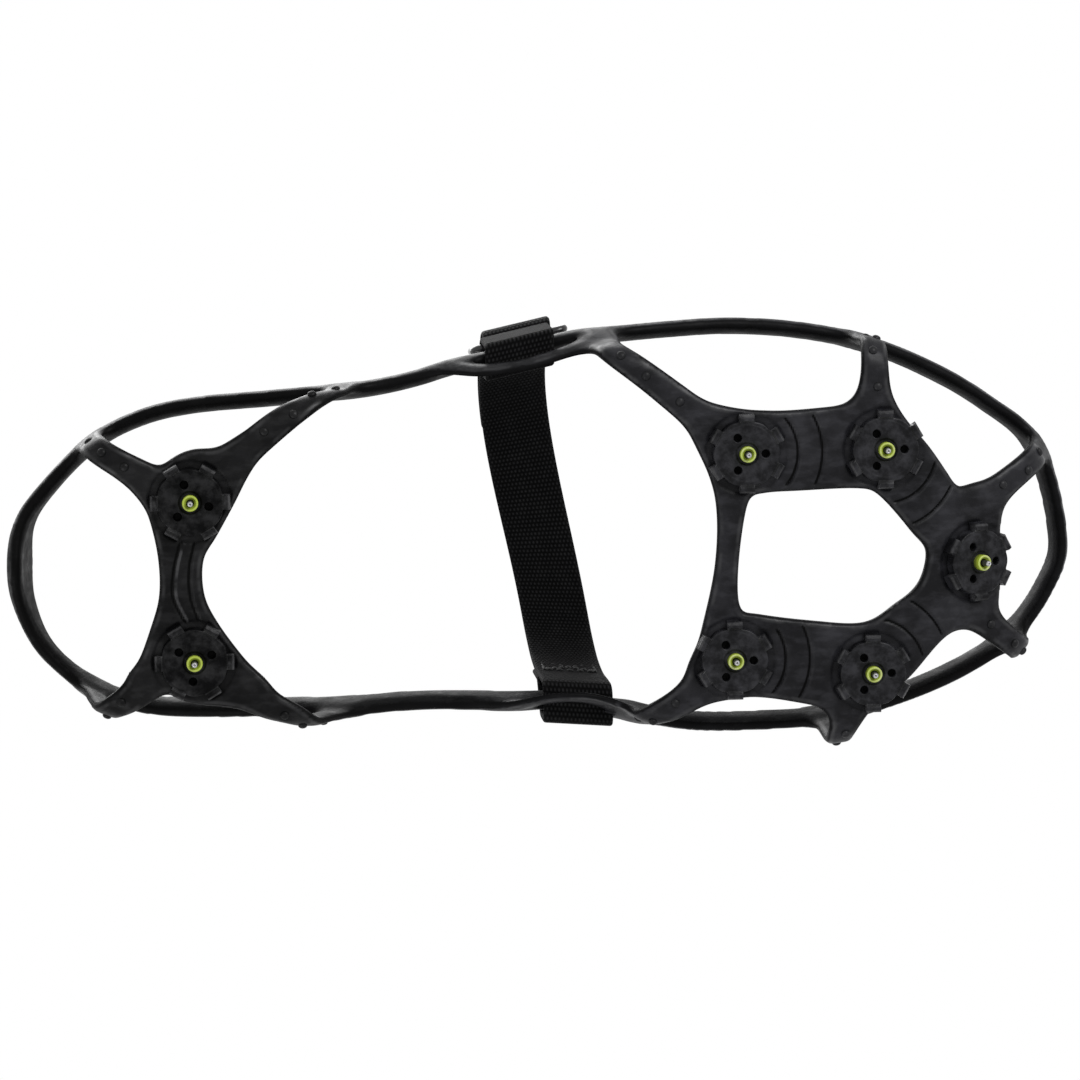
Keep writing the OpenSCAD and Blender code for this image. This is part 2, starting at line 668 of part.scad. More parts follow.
// Outline of the anchor's loop round the side bar and the lower bar of the ring, t outside its bore
module anchor_outline(t) {
    r = ring_bar / 2 + gap + t;
    polygon(concat(
        [[bar_o[1] + outer_hw + t, bar_o[2] + bar_hh], [bar_o[1] + outer_hw + t, bar_o[2] - bar_hh - t]],
        [[bar_o[1] - outer_hw - t, bar_o[2] - bar_hh - t]],
        [for (a = [180:-15:15]) pivot + r * [cos(a), sin(a)]]
    ));
}

module strap_anchor() {
    color(webbing) translate([strap_x, pivot[0], 0]) rotate([0, 0, turn_o])
        translate([gap - ring_play - strap_w / 2, -pivot[0], 0]) rotate([90, 0, 90])
            linear_extrude(strap_w) difference() {
                anchor_outline(strap_t);
                anchor_outline(0);
            }
}

// The corners of the ring stand a little proud of its bars
ring_knuckle = 0.1;
module strap_ring() {
    tilt = atan2(pivot[0] - ring_top[0], ring_rise);
    color(gloss) for (p = [pivot, ring_top])
        translate([strap_x, p[0], p[1]]) rotate([0, 0, turn_o]) translate([-leg_x, 0, 0]) {
            sphere(d = ring_bar + ring_knuckle);
            rotate([0, 90, 0]) cylinder(d = ring_bar, h = 2 * leg_x);
            translate([2 * leg_x, 0, 0]) sphere(d = ring_bar + ring_knuckle);
        }
    color(gloss) for (x = [-leg_x, leg_x])
        translate([strap_x + x * cos(turn_o), pivot[0] + x * sin(turn_o), pivot[1]])
            rotate([tilt, 0, 0]) cylinder(d = ring_bar, h = norm(ring_top - pivot));
}

// Route of the strap: short end outside the ring, round its upper bar, over the instep, round the inner bar
end_rise = 4;
top_y = -4;
in_y = bar_i[1] - inner_hw - strap_t / 2;
out_y = bar_i[1] + inner_hw + strap_t / 2;
low_z = bar_i[2] - bar_hh - strap_t / 2;
crown = strap_top_z - strap_t / 2;
flank = (crown - ring_top[1]) / 2;
arch = open_curve([
    ring_top + [turn_r, 0], ring_top + [turn_r + 3.5, flank * 0.66], ring_top + [turn_r + 12, flank * 1.34],
    [top_y - 19, crown - 3.5], [top_y, crown], [top_y + 19, crown - 3],
    [in_y - 11, ring_top[1] + flank * 1.37], [in_y - 3, ring_top[1] + flank * 0.65],
    [in_y, ring_top[1] - 4], [in_y, bar_i[2] + bar_hh]
], 4);
sewn_z = bar_i[2] + bar_hh + 22;
bend_r = 2;
strap_route = concat(
    [ring_top + [-turn_r, end_rise]],
    [for (a = [180:20:340]) ring_top + turn_r * [cos(a), sin(a)]],
    arch,
    [[in_y, low_z + bend_r], [in_y + bend_r * 0.3, low_z + bend_r * 0.3], [in_y + bend_r, low_z]],
    [[out_y - bend_r, low_z], [out_y - bend_r * 0.3, low_z + bend_r * 0.3], [out_y, low_z + bend_r]],
    [[out_y, bar_i[2] + bar_hh], [in_y + strap_t + gap, bar_i[2] + bar_hh + 8]],
    [[in_y + strap_t + gap, sewn_z]]
);

// Share of the way across the foot from the outer to the inner side bar, level at both ends
function crossing(y) = let (t = min(max((y - bar_o[1]) / (bar_i[1] - bar_o[1]), 0), 1)) t * t * (3 - 2 * t);
function strap_mid(y) = strap_x + strap_skew * crossing(y);
function strap_dir(y) = let (a = turn_o + (turn_i - turn_o) * crossing(y)) [cos(a), sin(a), 0];

// Band of webbing, w wide and t thick, along a route of [y, z]
module strap_band(route, w, t) {
    skin([for (i = [0:len(route) - 1]) let (p = route[i], n = side_of(route, i)) [
        for (q = [[t, -w], [t, w], [-t, w], [-t, -w]])
            [strap_mid(p[0]), p[0], p[1]] + [0, n[0], n[1]] * q[0] / 2 + strap_dir(p[0]) * q[1] / 2
    ]]);
}

module instep_strap() {
    color(webbing) strap_band(strap_route, strap_w, strap_t);
}

// Stretch of the strap's arch, moved outwards by off
function over_arch(a, b, off) = [for (i = [a:b]) arch[i] + side_of(arch, i) * off];
function run(path, i) = i == 0 ? 0 : run(path, i - 1) + norm(path[i] - path[i - 1]);
function upto(path, l) = [for (i = [0:len(path) - 1]) if (run(path, i) <= l) path[i]];

patch_w = strap_w - 1;
hook_off = strap_t / 2 + 1.5 * patch_t + gap;
tab_off = hook_off + patch_t / 2 + strap_t / 2;
tab_hinge = ring_top + [-turn_r - strap_t / 2, end_rise];
tab_start = 3;
tab_route = upto(concat(
    [tab_hinge + [strap_t / 2, gap], tab_hinge + [strap_t / 2 + 0.6, 3]],
    over_arch(tab_start, len(arch) - 1, tab_off)
), tab_l);

module loop_patch() {
    path = upto(over_arch(2, len(arch) - 1, strap_t / 2 + patch_t / 2), hook_l + 20);
    color(webbing) strap_band(path, patch_w, patch_t);
}

module strap_tab() {
    color(webbing) strap_band(tab_route, strap_w, strap_t);
}

module hook_patch() {
    path = upto(over_arch(tab_start, len(arch) - 1, hook_off), hook_l);
    color(gloss) strap_band(path, patch_w, patch_t);
}

forefoot_web();
heel_web();
rim_toe();
rim_heel();
side_bar_outer();
side_bar_inner();
stretch_band_outer();
stretch_band_inner();
stringer_outer();
stringer_inner();
for (k = [0:len(arm_names) - 1]) arm(k);
for (k = [0:len(studs) - 1]) stud_pad(k);
for (k = [0:len(studs) - 1]) stud_sleeve(k);
for (k = [0:len(studs) - 1]) carbide_pin(k);
for (k = [0:len(studs) - 1])
    backing_washer(k);
strap_anchor();
strap_ring();
instep_strap();
loop_patch();
strap_tab();
hook_patch();
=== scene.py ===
import bpy
import numpy as np
from mathutils import Matrix


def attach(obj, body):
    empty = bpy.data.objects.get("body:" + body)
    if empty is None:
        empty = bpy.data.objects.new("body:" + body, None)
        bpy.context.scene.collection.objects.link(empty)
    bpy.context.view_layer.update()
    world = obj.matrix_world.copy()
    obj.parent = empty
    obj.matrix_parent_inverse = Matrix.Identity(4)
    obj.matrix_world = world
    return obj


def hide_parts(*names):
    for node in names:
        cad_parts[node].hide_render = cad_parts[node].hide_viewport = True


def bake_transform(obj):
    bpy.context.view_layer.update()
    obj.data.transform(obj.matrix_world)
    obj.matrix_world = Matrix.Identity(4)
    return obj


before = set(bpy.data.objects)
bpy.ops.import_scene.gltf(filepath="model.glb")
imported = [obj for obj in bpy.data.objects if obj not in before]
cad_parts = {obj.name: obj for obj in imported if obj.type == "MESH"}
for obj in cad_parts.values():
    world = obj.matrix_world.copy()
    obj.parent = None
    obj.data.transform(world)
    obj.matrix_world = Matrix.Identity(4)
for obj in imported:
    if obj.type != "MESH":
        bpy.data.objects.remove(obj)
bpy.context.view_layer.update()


# Rubber harness
# One moulding of soft black rubber: two webs in the base, ten arms that turn up at its edge, and the rim band above
# with its pull tab, stretch bands and strap slots. It is cast in one shot, so every joint is a fillet.

def cubics(a, b, c, d, steps):
    """Points on cubics from b to c. The slope at b is half the chord from a to c, and at c half that from b to d."""
    t = (np.arange(steps) / steps)[None, :, None]
    rows = b + (c - a) / 2 * t + (a - 2.5 * b + 2 * c - d / 2) * t ** 2 + (1.5 * (b - c) + (d - a) / 2) * t ** 3
    return rows.reshape(-1, b.shape[-1])


def loop_through(points, steps):
    """Closed smooth curve through points, with a number of steps from each to the next."""
    return cubics(*(np.roll(points, k, 0)[:, None] for k in (1, 0, -1, -2)), steps)


def path_through(points, steps):
    """Open smooth curve through points: the same cubics, with the first and the last point doubled."""
    p = np.vstack([points[:1], points, points[-1:]])
    return np.vstack([cubics(*(p[k:len(p) - 3 + k, None] for k in range(4)), steps), points[-1:]])


def ease(x, lo, hi):
    """Smooth step: 0 at lo, 1 at hi, with level ends."""
    t = np.clip((x - lo) / (hi - lo), 0, 1)
    return t * t * (3 - 2 * t)


# Lower face of the web above the ground and its thickness, then where the toe turns up, over which length, and by
# which angle. Lengths are in millimetres.
WEB_Z, WEB_T = 6.7, 3.3
TOE_START, TOE_RUN, TOE_RISE = 98.5, 15.0, np.radians(24)


def base_point(flat):
    """Middle of the web at flat places (x, y): level, then an arc of 24 degrees, then a straight rise to the toe."""
    x, y = flat[:, 0], flat[:, 1]
    radius = TOE_RUN / TOE_RISE
    turn = np.clip(x - TOE_START, 0, TOE_RUN) / radius
    past = np.maximum(x - TOE_START - TOE_RUN, 0)
    px = np.minimum(x, TOE_START) + radius * np.sin(turn) + past * np.cos(TOE_RISE) - WEB_T / 2 * np.sin(turn)
    pz = WEB_Z + radius * (1 - np.cos(turn)) + past * np.sin(TOE_RISE) + WEB_T / 2 * np.cos(turn)
    return np.stack([px, y, pz], 1)


def flat_place(x):
    """Flat length of a point that lies at x once the toe has turned up, read off a table of the rise."""
    table = np.linspace(-260, 260, 2081)
    return np.interp(x, base_point(np.stack([table, table * 0], 1))[:, 0], table)


# Studs on the flat web, in millimetres
STUDS = {
    "outer_rear": (54.0, -23.9), "inner_rear": (50.0, 34.1), "outer_front": (93.0, -24.1),
    "inner_front": (89.0, 38.9), "toe": (121.0, 9.1), "outer_heel": (-100.5, -14.45), "inner_heel": (-100.5, 30.05),
}
S0, S1, S2, S3, S4, S5, S6 = (np.array(p) for p in STUDS.values())

# Rim stations from the toe round the outer side: x, y, z of the middle, height, and inset of the base edge below
RIM_STEPS = 12
rim_stations = np.array([
    (150.8, 6.8, 45.0, 9, 3.6), (144.2, -19.4, 45.0, 9, 4.0), (128.6, -33.5, 43.5, 9, 2.6),
    (110.4, -44.2, 42.5, 9, 1.0), (91.4, -51.8, 40.5, 9, 0.0), (72.6, -55.7, 41.0, 9, 0.6),
    (53.4, -57.2, 40.5, 9, 1.2), (35.3, -56.7, 38.5, 9, 1.8), (19.2, -55.8, 35.5, 9, 3.4),
    (8.0, -55.0, 35.0, 9, 5.4), (-5.5, -51.5, 34.5, 9, 5.6), (-24.5, -48.1, 34.0, 9, 5.0),
    (-35.8, -45.0, 33.2, 9, 3.0), (-46.6, -42.8, 33.0, 9, 1.4), (-56.0, -41.7, 33.6, 9, 0.6),
    (-77.6, -40.0, 36.2, 9, 0.6), (-99.3, -38.2, 40.0, 9, 0.4), (-114.2, -34.8, 41.5, 9, 0.2),
    (-127.7, -27.8, 43.5, 9, 0.2), (-140.7, -15.2, 45.5, 9, 1.0), (-147.6, -5.2, 48.0, 14.2, 1.6),
    (-149.7, 6.8, 49.0, 22, 1.8), (-148.2, 18.8, 48.0, 14.2, 1.6), (-142.2, 31.2, 45.5, 9, 1.4),
    (-129.8, 41.8, 43.5, 9, 1.4), (-115.2, 46.8, 41.0, 9, 0.9), (-98.3, 48.2, 39.5, 9, 0.6),
    (-77.6, 48.1, 36.2, 9, 0.6), (-57.4, 48.2, 33.6, 9, 0.6), (-46.6, 47.4, 33.0, 9, 1.0),
    (-34.3, 47.1, 33.1, 9, 1.9), (-11.0, 48.1, 34.0, 9, 4.6), (8.0, 48.8, 34.5, 9, 6.4), (17.5, 50.6, 35.0, 9, 6.0),
    (24.2, 52.7, 36.0, 9, 3.6), (41.4, 56.3, 38.5, 9, 1.0), (60.4, 57.2, 40.5, 9, 0.0), (80.6, 56.3, 41.0, 9, -1.0),
    (100.4, 51.8, 42.0, 9, -0.6), (119.5, 44.8, 43.0, 9, 0.2), (135.6, 35.2, 44.0, 9, 0.6),
    (146.7, 21.2, 45.0, 9, 2.2),
])
rim = loop_through(rim_stations, RIM_STEPS)


def unit(vectors):
    """Vectors brought to length 1."""
    return vectors / np.linalg.norm(vectors, axis=-1, keepdims=True)


def left_of(run):
    """Directions in the plane after a quarter turn to the left."""
    return np.stack([-run[:, 1], run[:, 0]], 1)


def outward(loop):
    """Unit vectors to the left of travel round a loop in the plane, which is outwards here."""
    return left_of(unit(np.roll(loop, -1, 0) - np.roll(loop, 1, 0)))


rim_out = outward(rim[:, :2])
edge = rim[:, :2] - rim_out * rim[:, 4:5]
edge[:, 0] = flat_place(edge[:, 0])
edge_out = outward(edge)
edge_run = -left_of(edge_out)

# Fold of the rubber round the base edge, over this length each side of it
FOLD = 7.0
fold_at = np.linspace(-FOLD, FOLD, 141)
fold_turn = np.pi / 2 * ease(fold_at, -FOLD, FOLD)
fold_step = fold_at[1] - fold_at[0]
fold_in = -FOLD + np.concatenate([[0], np.cumsum(np.cos(fold_turn[:-1] + np.diff(fold_turn) / 2))]) * fold_step
fold_up = np.concatenate([[0], np.cumsum(np.sin(fold_turn[:-1] + np.diff(fold_turn) / 2))]) * fold_step
# Length of rubber from the base edge to the middle of the rim
rim_reach = rim[:, 2] - base_point(edge)[:, 2] - fold_up[-1] + FOLD
RIM_LEAN = np.tan(np.radians(10))


def in_parts(rows):
    """Rows split into parts of some thousands, so that each part's table of distances stays small."""
    return np.array_split(rows, max(1, len(rows) // 12000))


def beside_edge(flat):
    """Place of flat points by the base edge: the pair of edge normals that a point lies between gives its share
    of the way round, and its height above the blended edge point along the blended normal is its distance."""
    nearest = np.concatenate([
        ((part[:, None, :] - edge[None].astype(np.float32)) ** 2).sum(2).argmin(1)
        for part in in_parts(flat.astype(np.float32))
    ])
    ahead = ((flat - edge[nearest]) * edge_run[nearest]).sum(1)
    first = np.where(ahead >= 0, nearest, nearest - 1) % len(edge)
    after = (first + 1) % len(edge)
    past = ((flat - edge[first]) * edge_run[first]).sum(1)
    left = ((flat - edge[after]) * edge_run[after]).sum(1)
    share = np.clip(past / np.maximum(past - left, 1e-9), 0, 1)

    def mixed(values):
        part = share if values.ndim == 1 else share[:, None]
        return values[first] * (1 - part) + values[after] * part

    away = ((flat - mixed(edge)) * mixed(edge_out)).sum(1)
    return mixed, away


def harness_point(flat):
    """Middle of the rubber at flat points: on the base inside the edge; past it the distance runs round the fold and
    then straight up the wall, leaning out to the rim and in again over the rim's own height."""
    mixed, away = beside_edge(flat)
    slack = np.where(away < -FOLD, away, np.interp(away, fold_at, fold_in))
    place = base_point(np.where((away < -FOLD)[:, None], flat, mixed(edge) + mixed(edge_out) * slack[:, None]))
    up = np.interp(away, fold_at, fold_up) + np.maximum(away - FOLD, 0)
    reach = mixed(rim_reach)
    lean = (mixed(rim[:, 4]) - fold_in[-1]) * ease(away, FOLD, reach - 2)
    lean = lean - RIM_LEAN * (away - reach) * ease(away, reach - 14, reach - 4)
    place[:, :2] += mixed(rim_out) * lean[:, None]
    place[:, 2] += np.where(away < -FOLD, 0, up)
    return place, away - reach, mixed(rim[:, 3])


def outline_distance(flat, outline):
    """Signed distance to a closed outline: the least distance to its sides, negative where a ray along +x
    crosses it an odd number of times."""
    a, b = outline[None], np.roll(outline, -1, 0)[None]
    found = []
    for part in in_parts(flat):
        p = part[:, None]
        t = np.clip(((p - a) * (b - a)).sum(2) / ((b - a) ** 2).sum(2), 0, 1)[..., None]
        least = np.sqrt(((p - a - (b - a) * t) ** 2).sum(2)).min(1)
        spans = (a[..., 1] > p[..., 1]) != (b[..., 1] > p[..., 1])
        rise = np.where(spans, b[..., 1] - a[..., 1], 1)
        cross = a[..., 0] + (p[..., 1] - a[..., 1]) * (b[..., 0] - a[..., 0]) / rise
        found.append(np.where((spans & (cross > p[..., 0])).sum(1) % 2, -least, least))
    return np.concatenate(found)


def beside(p, q, run, out):
    """Point a length along the line from p to q and a length to its left."""
    d = unit(q - p)
    return p + d * run + np.array([-d[1], d[0]]) * out


# Outlines of the webs and of the forefoot's window, as offsets from the studs; half the width of a side band
HALF_BAND = 11.5
forefoot_edge = loop_through(np.array([
    S0 + (-13, -4), S0 + (-8, -HALF_BAND), S0 + (12, -HALF_BAND), S2 + (-9, -12.5), S2 + (0, -13),
    beside(S2, S4, 5, -10.2), beside(S2, S4, 18, -9.75), S4 + (-5, -21), S4 + (2, -20), S4 + (8.2, -14),
    S4 + (9.1, -4), S4 + (9.1, 6), S4 + (7.2, 12.3), S4 + (-1, 15.8), beside(S3, S4, 20, 8.25),
    beside(S3, S4, 4, 8.75), S3 + (-3, 10), S3 + (-11, 10), S1 + (11, HALF_BAND), S1 + (-4, 9.5), S1 + (-12, 3),
    S1 + (-9, -8), np.array([45.2, 7.1]), S0 + (-8.5, 13),
]), 8)
forefoot_window = loop_through(np.array([
    S0 + (0.5, 14), S0 + (4.5, HALF_BAND), S0 + (15, 11), S2 + (-7, 11), beside(S2, S4, 9.5, 9.45),
    beside(S2, S4, 24, 9.25), S4 + (-15.5, -4), S4 + (-18, 5), beside(S3, S4, 18, -9.25), S3 + (-2, -14),
    S3 + (-17, -15), S1 + (7, -12.5), S1 + (2, -14.5), np.array([51.7, 7.1]),
]), 8)
heel_edge = loop_through(np.array([
    S5 + (-15, -5), S5 + (-11.5, 4), np.array([-109.75, 0.8]), np.array([-109.75, 11.8]), S6 + (-12, -9),
    S6 + (-15.5, 0), S6 + (-18, 4), S6 + (-14.5, 9), S6 + (-10, 6.2), S6 + (-3.5, 11), S6 + (5, 12.6), S6 + (13, 12.2),
    S6 + (19, 11.5), S6 + (20, 7), S6 + (14, 0), S6 + (7, -10), np.array([-97.25, 11.8]), np.array([-97.25, 1.8]),
    S5 + (7.2, 9.6), S5 + (14, -2.6), S5 + (17, -11), S5 + (15, -15.5), S5 + (9, -14), S5 + (2, -14.5),
    S5 + (-4, -12.5), S5 + (-9, -8.5), S5 + (-13.5, -9.5),
]), 8)

# Width of an arm, at its root on the web and how much it flares at the rim
ARM_W, ARM_ROOT, ARM_FLARE = 7.4, 9.3, 1.2
# Arms: rim station, start on the web, foot of the wall as an offset from the rim, and for a swept arm the share of its
# way along the rim that it makes at the fold
KNEE = 0.34
arms = [
    (1, S4 + (-3.3, -12.4), (-4.2, 0.5)), (4, S2 + (-3, -6), (-0.3, -0.5)), (8.25, S0 + (-5, -4), (1.5, 2.3)),
    (14, S5 + (8, -8), (-12, 0.5), 0.68), (18, S5 + (-7, -3), (2.2, -1.5)), (40, S4 + (-6.8, 9.3), (-0.8, 1)),
    (37, S3 + (-5, 5), (0, 1.5)), (34, S1 + (-4, 5), (2, -1.5)), (28, S6 + (10, 7), (-15, -0.5)),
    (24, S6 + (-10, 4), (6, 2)),
]


def wall_place(station, drop):
    """Flat place on the wall, at a share of the way round and a drop below the middle of the rim."""
    at = np.asarray(station, float) * RIM_STEPS
    low = np.floor(at).astype(int)
    part = (at - low)[:, None]

    def mixed(values):
        return values[low % len(edge)] * (1 - part) + values[(low + 1) % len(edge)] * part

    return mixed(edge) + mixed(edge_out) * (mixed(rim_reach[:, None]) - np.asarray(drop, float)[:, None])


def arm_path(station, start, lean, swept=KNEE):
    """Flat middle line of an arm: from the web to the foot of the wall, round the fold and up to the rim."""
    low = rim[int(station * RIM_STEPS), :2] + lean
    foot, top = np.array([flat_place(low[0]), low[1]]), wall_place([station], [0])[0]
    knee = foot + (top - foot) * (swept, KNEE)
    part_way = start + (foot - start) * 0.62
    return path_through(np.array([start, part_way, foot, knee, top]), 20)


arm_lines = [arm_path(*a) for a in arms]
# Stringers: width, then rim stations and drops below the rim of the lower edge of each strap slot
STRINGER_W = 4.4
stringer_lines = [
    path_through(wall_place((8.3, 9.15, 9.95, 10.65, 11.05, 11.5), (11.6, 11.6, 11.7, 10.9, 7.6, 3.0)), 16),
    path_through(wall_place((33.95, 33.0, 32.1, 31.4, 31.1, 30.8), (11.2, 11.5, 11.7, 10.9, 7.6, 3.0)), 16),
]

# Distance that stands for no shape near
FAR = 99.0


def near_box(flat, line, room):
    """Numbers of the flat points that lie in the box of a line, widened by room."""
    return np.flatnonzero(((flat > line.min(0) - room) & (flat < line.max(0) + room)).all(1))


def line_distance(flat, place, line, widths, room):
    """Distance in space from points of the rubber to a middle line, less its half width there; far off for points
    whose flat place lies outside the line's box by more than room."""
    found = np.full(len(flat), FAR)
    middle = harness_point(line)[0]
    for rows in in_parts(near_box(flat, line, room)):
        gap = np.sqrt(((place[rows, None] - middle[None]) ** 2).sum(2)) - widths[None] / 2
        found[rows] = gap.min(1)
    return found


def merge(a, b, fillet):
    """Smooth least of two distances, which rounds the corner between two shapes by about the fillet."""
    h = np.clip(0.5 + 0.5 * (b - a) / fillet, 0, 1)
    return b * (1 - h) + a * h - fillet * h * (1 - h)


def harness_at(flat):
    """Middle point, distance past the moulding's edge, and thickness at flat points: the webs, arms, stringers and
    rim are distances that are merged with fillets, and the thickness eases from one to the next."""
    place, over_rim, rim_high = harness_point(flat)
    web, arm, cord = np.full((3, len(flat)), FAR)
    web_room, arm_room, cord_room = 20, 26, 12
    for outline, hole in ((forefoot_edge, forefoot_window), (heel_edge, None)):
        near = near_box(flat, outline, web_room)
        gap = outline_distance(flat[near], outline)
        if hole is not None:
            gap = np.maximum(gap, -outline_distance(flat[near], hole))
        web[near] = np.minimum(web[near], gap)
    band = np.abs(over_rim) - rim_high / 2
    for line in arm_lines:
        t = np.linspace(0, 1, len(line))
        widths = ARM_ROOT + (ARM_W - ARM_ROOT) * ease(t, 0, 0.38) + ARM_FLARE * ease(t, 0.9, 1)
        arm = np.minimum(arm, line_distance(flat, place, line, widths, arm_room))
    for line in stringer_lines:
        cord = np.minimum(cord, line_distance(flat, place, line, np.full(len(line), STRINGER_W), cord_room))
    # Fillets in millimetres: the arms' are larger at the forefoot than at the heel
    arm_fillet, cord_fillet, rim_fillet = 3.5 + 3.5 * ease(flat[:, 0], -60, 20), 6, 5
    past = merge(merge(merge(web, arm, arm_fillet), cord, cord_fillet), band, rim_fillet)
    # Arms are 2.8 mm thick, webs 3.3, the rim 4.5 and the stringers 2.4
    thick = 2.8 + 0.5 * ease(web, 3, -2) + 1.7 * ease(band, 2.5, -1) - 0.4 * ease(cord, 1, -1) * ease(band, -1, 2)
    return place, past, thick, web, band


def fine_and_coarse(lo, hi, fine, small, large):
    """Grid places from lo to hi, a small step apart inside the fine spans and a large one elsewhere."""
    mark, change = 0.01, 3
    marks = np.arange(lo, hi, mark)
    inside = np.zeros(len(marks))
    for a, b in fine:
        inside = np.maximum(inside, ease(marks, a - change, a) * ease(marks, b + change, b))
    count = np.cumsum(mark / (large + (small - large) * inside))
    return np.interp(np.arange(0, count[-1], 1.0), count, marks)


# Grid over the flat pattern, finer on the webs, where the grooves and seats are
FINE, COARSE = 0.51, 0.96
grid_x = fine_and_coarse(-208, 188, ((-129, -76), (37, 133)), FINE, COARSE)
grid_y = fine_and_coarse(-104, 104, ((-40, 52),), FINE, COARSE)
cell_x, cell_y = np.gradient(grid_x), np.gradient(grid_y)
flat = np.stack(np.meshgrid(grid_x, grid_y, indexing="ij"), 2).reshape(-1, 2)
past = harness_at(flat)[1]
# Points within half a cell of the moulding's edge are moved onto it, along the slope of the distance
cell = np.maximum(cell_x[:, None], cell_y[None]).reshape(-1)
slope = np.stack(np.gradient(past.reshape(len(grid_x), len(grid_y)), grid_x, grid_y), 2).reshape(-1, 2)
steep = np.maximum((slope ** 2).sum(1), 0.05)
snapped = np.flatnonzero(np.abs(past) / np.sqrt(steep) < 0.5 * cell)
for again in (False, True):
    gap = harness_at(flat[snapped])[1] if again else past[snapped]
    step = (slope[snapped] * gap[:, None]) / steep[snapped, None]
    length = np.linalg.norm(step, axis=1, keepdims=True)
    flat[snapped] -= step * np.minimum(1, 0.6 * cell[snapped, None] / np.maximum(length, 1e-9))
kept = past < 0
kept[snapped] = True
corner = np.arange(len(flat)).reshape(len(grid_x), len(grid_y))
quads = np.stack([corner[:-1, :-1], corner[1:, :-1], corner[1:, 1:], corner[:-1, 1:]], 2).reshape(-1, 4)
count = kept[quads].sum(1)
three = quads[count == 3]
lost = np.argmin(kept[three], 1)
three = np.take_along_axis(three, (lost[:, None] + np.arange(1, 4)[None]) % 4, 1)
quads = quads[count == 4]
used = np.unique(np.concatenate([quads.ravel(), three.ravel()]))
renumber = np.zeros(len(flat), int)
renumber[used] = np.arange(len(used))
quads, three, flat = renumber[quads], renumber[three], flat[used]
place, past, thick, web_gap, band_gap = harness_at(flat)


def foot_side(flat):
    """Unit normals of the rubber's middle, towards the foot: across two short steps in the flat plane."""
    step = 0.15
    along = harness_point(flat + (step, 0))[0] - harness_point(flat - (step, 0))[0]
    across = harness_point(flat + (0, step))[0] - harness_point(flat - (0, step))[0]
    return unit(np.cross(along, across))


normal = foot_side(flat)
inside = np.maximum(-past, 0)
# Round of the edge: a quarter of an ellipse that starts part of the way up the side, wider on the rim
EDGE_LEFT, ROUND_R = 0.42, 1.1
round_r = np.minimum(thick * 0.5, ROUND_R + ROUND_R * ease(band_gap, 1, -1.5))
bulge = np.sqrt(1 - (1 - np.clip(inside / round_r, 0, 1)) ** 2)
half = thick / 2 * (EDGE_LEFT + (1 - EDGE_LEFT) * bulge)


def grooves(flat, inside):
    """Tread lines, as depth and as a mark for the material's painted shade and highlight: 1 in a line, which is
    painted dark, and negative on its lip, which is painted light. They are arcs about the rear stud of each band, two
    to a band, and two winding lines on the heel bar.
    Each is a narrow bell with a low lip on one side, and fades out short of the edge."""
    depth, mark = np.zeros((2, len(flat)))

    def line_and_lip(off, wide, lip_wide, share):
        return np.exp(-(off / wide) ** 2) * share, np.exp(-((off - 0.95) / lip_wide) ** 2) * share

    # Studs at the ends of a band, radius of its first arc and step to the second
    for a, b, first, step in ((S0, S2, 14.6, 6.9), (S1, S3, 14.6, 6.9), (S2, S4, 15.3, 7.4), (S3, S4, 15.3, 7.6)):
        to = unit(b - a)
        reach = np.linalg.norm(flat - a, axis=1)
        facing = ease(((flat - a) @ to) / np.maximum(reach, 1e-6), 0.7, 0.78)
        for r in (first, first + step):
            line, lip = line_and_lip(reach - r, 0.4, 0.5, facing)
            depth += 0.75 * line - 0.22 * lip
            mark += line - 0.5 * lip
    x, y = flat[:, 0], flat[:, 1]
    low, high = -4, 20
    span = ease(y, low, low + 1.5) * ease(y, high, high - 2) * (np.abs(x + 103) < 9)
    # Places of a winding line, its depth and how strongly its lip is painted light
    for x_at, deep, lip_highlight in (
            ((-103.6, -105.5, -106.0, -102.8), 0.7, 0.9), ((-99.6, -101.3, -101.2, -99.0), 0.5, 0.3)):
        winding = path_through(np.array(x_at)[:, None], 16)[:, 0]
        line, lip = line_and_lip(x - np.interp(y, np.linspace(low, high, 49), winding), 0.42, 0.45, span)
        depth += deep * (line - 0.35 * lip)
        mark += line - lip_highlight * lip
    fade = ease(inside, 0.8, 2)
    return depth * fade, mark * fade


stud_reach = np.min([np.linalg.norm(flat - s, axis=1) for s in (S0, S1, S2, S3, S4, S5, S6)], 0)
groove_depth, groove_shade_highlight_mark = grooves(flat, inside)
# Shallow seats round the pads on the ground side and under the washers on the foot side: depth, and from which
# radius to which they sink
PAD_SEAT, PAD_SEAT_R = 0.45, (12.2, 11.0)
WASHER_SEAT, WASHER_SEAT_R = 0.55, (8.7, 7.4)
ground = half - groove_depth
ground = ground - PAD_SEAT * ease(stud_reach, *PAD_SEAT_R) * ease(inside, 0.5, 2)
foot = half - WASHER_SEAT * ease(stud_reach, *WASHER_SEAT_R)
outer, inner = place - normal * ground[:, None], place + normal * foot[:, None]

# Sides of the faces: one that belongs to a single face lies on the outline
sides = np.concatenate([
    part[:, [k, (k + 1) % part.shape[1]]] for part in (quads, three) for k in range(part.shape[1])])
keys = np.sort(sides, 1)
keys = keys[:, 0] * len(flat) + keys[:, 1]
_, first, times = np.unique(keys, return_index=True, return_counts=True)
rim_sides = sides[first[times == 1]]
size = len(flat)


def worn(points, pairs, share, times):
    """Points after a few passes of wear: the first of each pair moves its share of the way to the mean of all the
    points it is paired with."""
    mover, other = pairs.T
    count = np.maximum(np.bincount(mover, minlength=len(points)), 1)[:, None]
    for _ in range(times):
        total = np.stack([np.bincount(mover, points[other, k], len(points)) for k in range(3)], 1)
        points = points + share[:, None] * (total / count - points)
    return points


